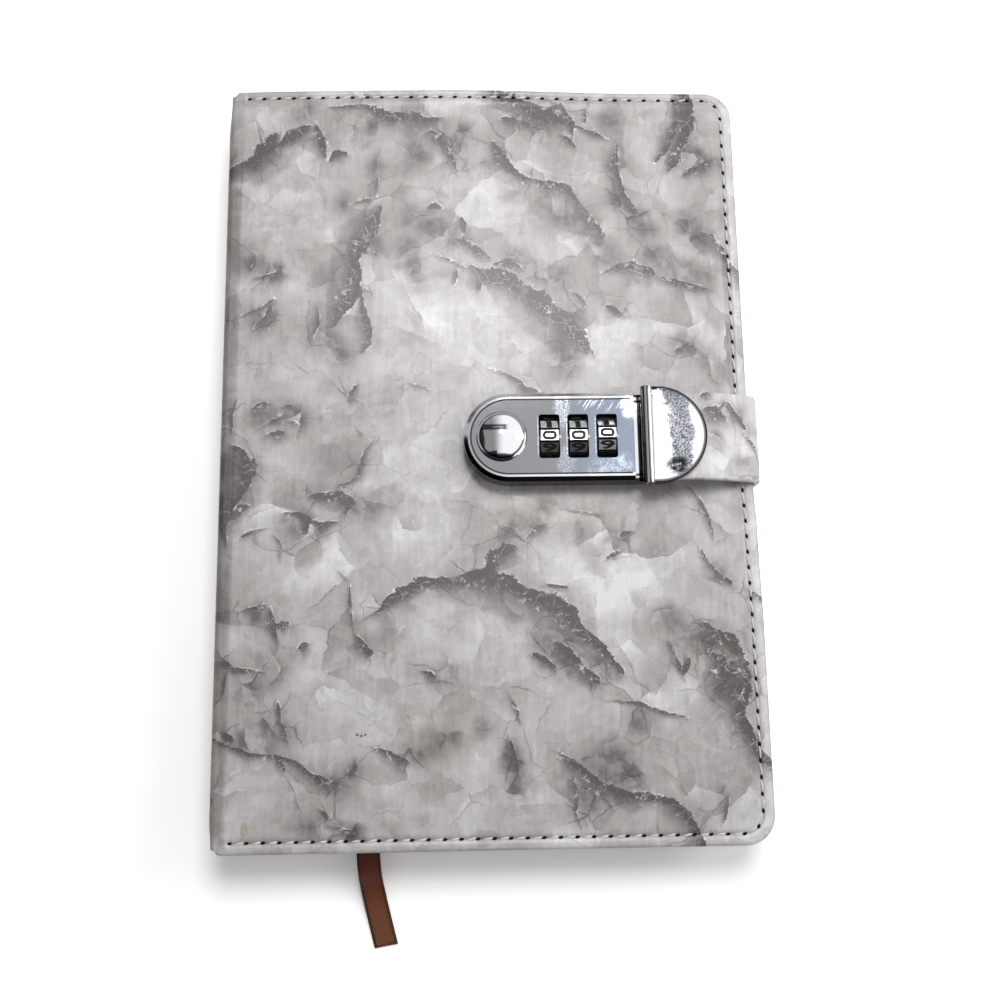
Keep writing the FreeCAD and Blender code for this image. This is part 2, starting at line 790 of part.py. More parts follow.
def make_catch():
    """D-shaped plate with a bead along its straight edge and a tongue under the bead."""
    radius = catch_width / 2
    left = catch_left + bead_radius
    outline = Part.Wire([
        line(V(left, lock_y - radius, catch_z), V(disc_x, lock_y - radius, catch_z)),
        arc(
            V(disc_x, lock_y - radius, catch_z),
            V(disc_x + radius, lock_y, catch_z),
            V(disc_x, lock_y + radius, catch_z),
        ),
        line(V(disc_x, lock_y + radius, catch_z), V(left, lock_y + radius, catch_z)),
        line(V(left, lock_y + radius, catch_z), V(left, lock_y - radius, catch_z)),
    ])
    top = catch_z + catch_edge + catch_crown
    ball = (radius ** 2 + catch_crown ** 2) / (2 * catch_crown)
    dome = Part.makeSphere(ball, V(disc_x + crown_shift, lock_y, top - ball), V(1, 0, 0))
    disc = Part.Face(outline).extrude(V(0, 0, catch_edge + catch_crown)).common(dome)
    bead_base = V(left, lock_y - radius, catch_z + bead_lift)
    bead = Part.makeCylinder(bead_radius, catch_width, bead_base, V(0, 1, 0))
    tongue_low = nose_z - tongue_tip
    tongue = box(
        tongue_x,
        tongue_x + tongue_thickness,
        lock_y - tongue_width / 2,
        lock_y + tongue_width / 2,
        tongue_low,
        catch_z + tongue_root,
    )
    long_edges = edges_at(tongue, tongue_low, lambda c: abs(c.y - lock_y) < 1)
    tongue = tongue.makeChamfer(tongue_chamfer, long_edges)
    side_gap, end_gap = tongue_window_gaps
    window = box(
        tongue_x - 1,
        tongue_x + tongue_thickness + 1,
        lock_y - nose_width / 2 - side_gap,
        lock_y + nose_width / 2 + side_gap,
        nose_z - end_gap,
        nose_z + bar_thickness + end_gap,
    )
    catch = fused(disc, bead, tongue).cut(window)
    rivets = []
    for side in (-1, 1):
        y = lock_y + side * rivet_spacing / 2
        x = disc_x + rivet_offset
        shank = cylinder(rivet_radius, x, y, clamp_z, catch_z + tongue_root)
        head = Part.makeCone(rivet_head_radius, rivet_radius, rivet_head, V(x, y, clamp_z))
        rivets.append(fused(shank, head))
        catch = catch.cut(shank)
    save("catch_plate", catch)
    clamp = plate(
        tongue_x + tongue_thickness + clamp_gap,
        disc_x + radius - clamp_margin,
        lock_y - radius + clamp_side_margin,
        lock_y + radius - clamp_side_margin,
        clamp_z,
        flap_z,
        (0.5, clamp_corner, clamp_corner, 0.5),
    )
    for rivet in rivets:
        clamp = clamp.cut(rivet)
    save("catch_clamp_plate", clamp)
    save("catch_rivets", *rivets)
    return rivets


def strap_path():
    """Edges of the strap's middle line from the catch, over the fore edge and down."""
    middle_z = flap_z + strap_thickness / 2
    outer_x = strap_x + strap_thickness / 2
    start = V(tongue_x + tongue_thickness + clamp_gap, 0, middle_z)
    crest = V(disc_x + catch_width / 2 - strap_crest_margin, 0, middle_z)
    corner = V(outer_x, 0, total + strap_corner_drop)
    foot = V(outer_x, 0, strap_fold_z + fold_half)
    return start, crest, corner, foot


def bent_strip(points, radii, half):
    """Face of a strip that follows points in the XZ plane, with rounded turns."""
    sides = []
    for sign in (1, -1):
        edges = []
        last = None
        count = len(points)
        for i, point in enumerate(points):
            if i in (0, count - 1):
                step = points[1] - points[0] if i == 0 else points[-1] - points[-2]
                step.normalize()
                here = point + V(-step.z, 0, step.x) * (sign * half)
                if last is not None:
                    edges.append(line(last, here))
                last = here
                continue
            back = (points[i - 1] - point).normalize()
            ahead = (points[i + 1] - point).normalize()
            turn = math.pi - back.getAngle(ahead)
            bisector = (back + ahead).normalize()
            radius = radii[i - 1]
            centre = point + bisector * (radius / math.cos(turn / 2))
            left_of = V(-(-back).z, 0, (-back).x) * sign
            grown = radius - half if left_of.dot(bisector) > 0 else radius + half
            first = centre + (point + back * (radius * math.tan(turn / 2)) - centre).normalize() * grown
            end = centre + (point + ahead * (radius * math.tan(turn / 2)) - centre).normalize() * grown
            middle = centre - bisector * grown
            edges.append(line(last, first))
            edges.append(arc(first, middle, end))
            last = end
        sides.append((edges, last))
    first_points = [side[0][0].firstVertex().Point for side in sides]
    ends = [line(sides[0][1], sides[1][1]), line(first_points[1], first_points[0])]
    edges = sides[0][0] + sides[1][0] + ends
    return Part.Face(Part.Wire(Part.__sortEdges__(edges)))


def make_strap(rivets):
    half = strap_thickness / 2
    start, crest, corner, foot = strap_path()
    shift = V(0, lock_y - strap_width / 2, 0)
    points = [p + shift for p in (start, crest, corner, foot)]
    flap = bent_strip(points, (strap_crest_bend, strap_bend), half).extrude(V(0, strap_width, 0))
    for rivet in rivets:
        flap = flap.cut(rivet)
    save("strap_flap", flap)
    tab_z = cover - lining - strap_tab_thickness
    tab = box(
        half_w - strap_tab_length,
        strap_x + strap_thickness,
        lock_y - strap_width / 2,
        lock_y + strap_width / 2,
        tab_z,
        cover - lining,
    )
    riser = box(
        strap_x,
        strap_x + strap_thickness,
        lock_y - strap_width / 2,
        lock_y + strap_width / 2,
        tab_z,
        strap_fold_z - fold_half,
    )
    base = fused(tab, riser)
    outer_x = strap_x + strap_thickness
    heel = edges_at(base, tab_z, lambda c: abs(c.x - outer_x) < 0.01)
    save("strap_base", base.makeFillet(strap_heel, heel))


os.makedirs("parts", exist_ok=True)
make_back_cover()
make_front_cover()
make_spine()
make_pages()
make_case()
make_base_plate()
make_dials()
make_button()
make_latch()
make_detent_spring()
catch_rivets = make_catch()
make_strap(catch_rivets)
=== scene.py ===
import bpy
import bmesh
import math
import numpy as np
from mathutils import Matrix, Vector


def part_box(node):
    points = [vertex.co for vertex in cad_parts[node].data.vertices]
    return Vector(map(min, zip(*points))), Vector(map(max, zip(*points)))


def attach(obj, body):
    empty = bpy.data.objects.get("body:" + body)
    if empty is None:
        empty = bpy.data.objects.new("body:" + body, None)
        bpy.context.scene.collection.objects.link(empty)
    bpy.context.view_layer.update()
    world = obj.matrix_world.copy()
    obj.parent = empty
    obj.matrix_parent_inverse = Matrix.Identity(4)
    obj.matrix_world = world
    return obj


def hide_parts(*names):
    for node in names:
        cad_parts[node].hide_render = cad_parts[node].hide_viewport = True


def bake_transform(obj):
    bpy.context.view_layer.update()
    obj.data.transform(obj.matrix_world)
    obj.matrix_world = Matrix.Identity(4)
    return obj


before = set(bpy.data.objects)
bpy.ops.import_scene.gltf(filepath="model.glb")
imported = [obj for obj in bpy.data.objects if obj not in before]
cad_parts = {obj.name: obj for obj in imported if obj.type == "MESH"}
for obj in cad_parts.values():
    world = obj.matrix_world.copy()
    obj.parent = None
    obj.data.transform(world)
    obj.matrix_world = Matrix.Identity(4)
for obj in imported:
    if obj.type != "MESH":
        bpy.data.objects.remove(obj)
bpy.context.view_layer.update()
mm = 0.001
print("frame loaded")


def boxOf(node):
    # the low and high corners of a CAD node, in mm
    return [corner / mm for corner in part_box(node)]


def unit(rows):
    return rows / np.linalg.norm(rows, axis=1)[:, None]


def runAlong(line):
    # distance from a line's start to each of its points
    return np.concatenate([[0], np.cumsum(np.linalg.norm(np.diff(line, axis=0), axis=1))])


def evenly(line, spacing, rounding=round):
    # the same line with even steps, and each point's distance from the start
    gone = runAlong(line)
    wanted = np.linspace(0, gone[-1], int(rounding(gone[-1] / spacing)) + 1)
    return np.stack([np.interp(wanted, gone, axis) for axis in line.T], 1), wanted


def spread(low, high, step):
    # even stops from low to high, about a step apart
    count = max(1, int(round((high - low) / step)))
    return np.linspace(low, high, count + 1)


class Wire:
    # one output socket; Python arithmetic on it adds Math nodes to its material
    def __init__(self, finish, socket):
        self.finish = finish
        self.socket = socket

    def maths(self, operation, *others):
        return self.finish.node("ShaderNodeMath", {"operation": operation}, dict(enumerate((self,) + others)))

    def __add__(self, other):
        return self.maths("ADD", other)

    def __sub__(self, other):
        return self.maths("SUBTRACT", other)

    def __mul__(self, other):
        return self.maths("MULTIPLY", other)

    def __truediv__(self, other):
        return self.maths("DIVIDE", other)

    def __pow__(self, other):
        return self.maths("POWER", other)

    def __rsub__(self, other):
        return self * -1.0 + other

    __radd__ = __add__
    __rmul__ = __mul__

    def size(self):
        return self.maths("ABSOLUTE")

    def part(self):
        return self.maths("FRACT")

    def over(self, other):
        return self.maths("GREATER_THAN", other)

    def least(self, other):
        return self.maths("MINIMUM", other)

    def most(self, other):
        return self.maths("MAXIMUM", other)

    def ramp(self, low, high, toLow=0.0, toHigh=1.0):
        # smooth step from low to high
        settings = {"interpolation_type": "SMOOTHSTEP"}
        values = {"Value": self, "From Min": low, "From Max": high, "To Min": toLow, "To Max": toHigh}
        return self.finish.node("ShaderNodeMapRange", settings, values)

    def __getitem__(self, axis):
        return self.finish.node("ShaderNodeSeparateXYZ", {}, {0: self}, out=axis)

    def shift(self, other, operation="ADD"):
        # vector arithmetic
        return self.finish.node("ShaderNodeVectorMath", {"operation": operation}, {0: self, 1: other})

    def scaled(self, *amounts):
        return self.finish.node("ShaderNodeVectorMath", {"operation": "MULTIPLY"}, {0: self, 1: amounts})


class Finish:
    # a material: one Principled shader and whatever feeds it
    def __init__(self, name, **constants):
        self.material = bpy.data.materials.new(name)
        self.material.use_nodes = True
        self.tree = self.material.node_tree
        self.shader = self.tree.nodes["Principled BSDF"]
        for socket, value in constants.items():
            self.set(socket.replace("_", " "), value)

    def set(self, socket, value):
        self.plug(self.shader.inputs[socket], value)

    def plug(self, target, value):
        if isinstance(value, Wire):
            self.tree.links.new(value.socket, target)
        elif isinstance(value, (tuple, list)) and target.type == "RGBA":
            target.default_value = tuple(value) + (1.0,) * (4 - len(value))
        else:
            target.default_value = value

    def node(self, kind, settings=None, sockets=None, out=0):
        made = self.tree.nodes.new(kind)
        for key, value in (settings or {}).items():
            if key == "stops":
                while len(made.color_ramp.elements) < len(value):
                    made.color_ramp.elements.new(1.0)
                for element, (place, colour) in zip(made.color_ramp.elements, value):
                    element.position = place
                    element.color = tuple(colour) + (1.0,)
            else:
                setattr(made, key, value)
        for key, value in (sockets or {}).items():
            self.plug(made.inputs[key], value)
        return Wire(self, made.outputs[out])

    def place(self):
        # where the surface lies, in mm
        return self.node("ShaderNodeTexCoord", out="Object").scaled(1000, 1000, 1000)

    def stored(self, name):
        return self.node("ShaderNodeAttribute", {"attribute_name": name}, out="Vector")

    def ray(self, kind):
        return self.node("ShaderNodeLightPath", out=f"Is {kind} Ray")

    def noise(self, where, scale, detail=3.0, roughness=0.5, out=0):
        values = {"Vector": where, "Scale": scale, "Detail": detail, "Roughness": roughness}
        return self.node("ShaderNodeTexNoise", {}, values, out=out)

    def swirl(self, where, scale, detail, roughness, reach):
        # a shift across the surface, up to half of reach each way
        made = self.noise(where, scale, detail, roughness, out=1).shift((0.5, 0.5, 0.5), "SUBTRACT")
        return made.scaled(reach, reach, 0)

    def cells(self, where, scale, feature="F1", out=0):
        values = {"Vector": where, "Scale": scale}
        return self.node("ShaderNodeTexVoronoi", {"feature": feature}, values, out=out)

    def borders(self, where, scale, width):
        # thin lines between angular cells
        edge = self.cells(where, scale, "DISTANCE_TO_EDGE")
        return (edge / scale).ramp(0.0, width, 1.0, 0.0)

    def mix(self, share, first, second):
        settings = {"data_type": "RGBA", "clamp_factor": True}
        return self.node("ShaderNodeMix", settings, {0: share, 6: first, 7: second}, out=2)

    def paint(self, colour, height, strength, distance=0.0001):
        # the colour and the fine relief
        self.set("Base Color", colour)
        values = {"Height": height, "Strength": strength, "Distance": distance}
        self.set("Normal", self.node("ShaderNodeBump", {}, values))
        return self.material


def grey(level, warmth=0.0):
    # linear colour of a warm or cool grey
    return (level * (1 + warmth), level, level * (1 - warmth))


studio = {
    "cameraPlace": (-0.0054, -0.0662, 0.3108),
    "cameraTurn": (-10.07, 1.45, 0.78),   # degrees, world to camera, as one turn about one axis
    "lens": 38.56,
    "worldLevel": 0.33,
    "keyPower": 2.35,
    "keyPlace": (0.06, 0.25, 0.62),
    "keySize": 0.30,
    "sidePower": 1.1,
    "sidePlace": (0.62, 0.16, 0.52),
    "sideSize": 0.34,
    "sheenPower": 2.7,
    "sheenPlace": (0.009, 0.262, 0.68),
    "sheenSize": 0.08,
    "floorGlow": 0.06,
    "farGlow": 0.55,          # how much more the floor glows far from the centre
    "floorWhite": 0.42,       # what the floor shows beyond its own colour
}


def addObject(name, data):
    made = bpy.data.objects.new(name, data)
    bpy.context.scene.collection.objects.link(made)
    return made


def makeCamera():
    data = bpy.data.cameras.new("camera")
    data.lens = studio["lens"]
    camera = addObject("camera", data)
    turn = Vector([math.radians(angle) for angle in studio["cameraTurn"]])
    worldToCamera = Matrix.Rotation(turn.length, 3, turn.normalized())
    camera.matrix_world = Matrix.Translation(studio["cameraPlace"]) @ worldToCamera.transposed().to_4x4()
    bpy.context.scene.camera = camera


def makeLamp(name):
    data = bpy.data.lights.new(name, "AREA")
    data.shape = "DISK"
    data.size = studio[name + "Size"]
    data.energy = studio[name + "Power"]
    lamp = addObject(name, data)
    lamp.location = studio[name + "Place"]
    aim = lamp.location - Vector((0, 0, 0.01))
    lamp.rotation_euler = aim.to_track_quat("Z", "Y").to_euler()
    return lamp


class Sky(Finish):
    # the world's nodes, written the same way as a material's
    def __init__(self, world):
        self.tree = world.node_tree
        self.shader = self.tree.nodes["Background"]


def makeWorld():
    world = bpy.data.worlds.new("studio")
    bpy.context.scene.world = world
    world.use_nodes = True
    sky = Sky(world)
    sky.set("Color", (1, 1, 1))
    direction = sky.node("ShaderNodeTexCoord", out="Generated")
    east, north = direction[0], direction[1]
    # what polished metal shows: white towards the fore edge, greyer and darker things towards the spine
    mirrored = east.ramp(-0.40, 0.16) * 0.80 + 0.28
    low = north.ramp(-0.60, -0.68).most(north.ramp(0.93, 0.98) * 0.65)
    bar = north.ramp(0.42, 0.47) * north.ramp(0.70, 0.64) * east.ramp(0.34, 0.14)
    slit = (north - 0.56).size().ramp(0.035, 0.015) * east.ramp(-0.42, -0.34) * east.ramp(0.16, 0.06)
    post = east.ramp(-0.70, -0.76) * north.ramp(0.68, 0.58) * north.ramp(-0.80, -0.60)
    stool = east.ramp(-0.62, -0.58) * east.ramp(-0.18, -0.22) * north.ramp(-0.50, -0.54)
    mirrored = mirrored * (1 - low * 0.95) * (1 - (bar - slit * 0.6) * 0.88)
    mirrored = mirrored * (1 - post * 0.9) * (1 - stool * 0.92)
    soft = (east * 0.7 + 1.0) * studio["worldLevel"]         # the light comes more from the fore edge
    level = soft + sky.ray("Glossy") * (mirrored - soft)
    sky.set("Strength", level + (1 - level) * sky.ray("Camera").most(sky.ray("Transmission")))


def makeFloor():
    bm = bmesh.new()
    bmesh.ops.create_grid(bm, x_segments=1, y_segments=1, size=3.0)
    bmesh.ops.translate(bm, vec=(0, 0, -0.00005), verts=bm.verts)
    floor = finishMesh("floor", bm)
    paper = Finish("floor_paper", Roughness=0.9, Base_Color=grey(0.92))
    where = paper.place()
    far = (where[0] * where[0] + where[1] * where[1]) ** 0.5
    strength = far.ramp(250.0, 1200.0) * studio["farGlow"] + studio["floorGlow"]
    glow = paper.node("ShaderNodeEmission", {}, {"Color": grey(1.0), "Strength": strength})
    bright = paper.node("ShaderNodeBsdfDiffuse", {}, {"Color": grey(studio["floorWhite"])})
    plain = Wire(paper, paper.shader.outputs[0])
    lit = paper.node("ShaderNodeAddShader", {}, {0: plain, 1: glow})
    lit = paper.node("ShaderNodeAddShader", {}, {0: lit, 1: bright})
    shown = paper.ray("Camera").most(paper.ray("Glossy")).most(paper.ray("Transmission"))
    both = paper.node("ShaderNodeMixShader", {}, {0: shown, 1: plain, 2: lit})
    paper.tree.links.new(both.socket, paper.tree.nodes["Material Output"].inputs["Surface"])
    floor.data.materials.append(paper.material)


def finishMesh(name, bm, smooth=True):
    # the bmesh becomes an object at the origin
    mesh = bpy.data.meshes.new(name)
    bm.to_mesh(mesh)
    bm.free()
    mesh.polygons.foreach_set("use_smooth", [smooth] * len(mesh.polygons))
    return addObject(name, mesh)


makeCamera()
makeLamp("key").visible_glossy = False
makeLamp("side")
makeLamp("sheen").visible_diffuse = False     # only the soft gleam on the cover
makeWorld()
makeFloor()
bpy.context.scene.view_settings.view_transform = "Standard"
print("camera and studio made")


ribbon = {
    "route": [
        (-0.0660, 0.1042, 0.01010),
        (-0.0600, 0.0600, 0.01010),
        (-0.0505, 0.0050, 0.01010),
        (-0.0420, -0.0450, 0.01010),
        (-0.0366, -0.0730, 0.01010),
        (-0.0345, -0.0920, 0.01010),
        (-0.0344, -0.1114, 0.01000),
        (-0.0336, -0.1213, 0.00030),
        (-0.0301, -0.1346, 0.00030),
    ],
    "width": 0.0060,
    "drawnWidth": 0.0064,
    "thickness": 0.0005,
    "length": 0.250,
    "acrossCells": 12,
    "endSlant": -0.0003,      # the cut end leans by this much
    "spacing": 0.0010,
}


def ribbonLine():
    # points along the route's own smooth spline
    curve = bpy.data.curves.new("ribbonRoute", "CURVE")
    curve.dimensions = "3D"
    curve.resolution_u = 24
    spline = curve.splines.new("NURBS")
    spline.points.add(len(ribbon["route"]) - 1)
    for point, place in zip(spline.points, ribbon["route"]):
        point.co = tuple(place) + (1.0,)
    spline.order_u = 3
    spline.use_endpoint_u = True
    holder = bpy.data.objects.new("ribbonRoute", curve)
    mesh = bpy.data.meshes.new_from_object(holder)
    line = np.array([vertex.co for vertex in mesh.vertices])
    bpy.data.objects.remove(holder)
    return evenly(line, ribbon["spacing"], math.floor)[0]


def makeRibbon():
    line = ribbonLine()
    ahead = unit(np.gradient(line, axis=0))
    side = unit(np.cross(ahead, (0, 0, 1.0)))
    up = np.cross(side, ahead)
    half = ribbon["drawnWidth"] / 2
    share = np.linspace(-1, 1, ribbon["acrossCells"] + 1)
    # the woven edges are thicker than the middle, and their outermost threads thin again
    crown = ribbon["thickness"] / 2 * np.interp(np.abs(share), (0.8, 0.81, 0.99, 1), (0.72, 1, 1, 0.25))
    across = np.concatenate([share, share[::-1]]) * half
    ring = list(zip(across, np.concatenate([crown, -crown])))
    bm = bmesh.new()
    uvs = bm.loops.layers.uv.new("weave")
    rows = []
    for i, (centre, right, top) in enumerate(zip(line, side, up)):
        slant = ribbon["endSlant"] * (i == len(line) - 1)
        lean = right + ahead[i] * slant / half
        rows.append([bm.verts.new(centre + lean * x + top * z) for x, z in ring])
    loop = len(ring)
    for i in range(len(rows) - 1):
        for k in range(loop):
            n = (k + 1) % loop
            face = bm.faces.new((rows[i][k], rows[i][n], rows[i + 1][n], rows[i + 1][k]))
            us = [ring[k][0], ring[n][0], ring[n][0], ring[k][0]]
            for corner, u, v in zip(face.loops, us, (i, i, i + 1, i + 1)):
                corner[uvs].uv = (u / mm, v * ribbon["spacing"] / mm)
    for row in (rows[0], rows[-1]):
        bm.faces.new(row)
    bmesh.ops.recalc_face_normals(bm, faces=bm.faces)
    strip = finishMesh("ribbonMarker", bm)
    strip.data.materials.append(ribbonFinish())
    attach(strip, "text_block")
    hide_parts("ribbon")
    tuple(line[0])
    ribbon["length"]
    ribbon["width"]


def ribbonFinish():
    # satin twill: fine slanted ribs, darker woven edges
    cloth = Finish("ribbon_twill", Roughness=0.5, Specular_IOR_Level=0.25)
    uv = cloth.node("ShaderNodeUVMap", {"uv_map": "weave"})
    across, along = uv[0], uv[1]
    ribs = (((along + across * 2.0) * 0.95).part() - 0.5).size() * 2.0
    fine = cloth.noise(uv.scaled(3.0, 0.7, 1.0), 3.0, 3.0)
    edge = across.size().ramp(2.25, 2.55)
    tone = ribs.ramp(0.30, 0.80) * fine.ramp(0.3, 0.7, 0.75, 1.0)
    lower = cloth.place()[1].ramp(-112.0, -128.0)
    rib = cloth.mix(lower, (0.26, 0.055, 0.025), (0.36, 0.135, 0.055))
    body = cloth.mix(tone, (0.022, 0.003, 0.001), rib)
    body = cloth.mix(edge * 0.75, body, (0.020, 0.004, 0.003))
    return cloth.paint(body, ribs + fine * 0.3, 0.5)


makeRibbon()
print("ribbon made")


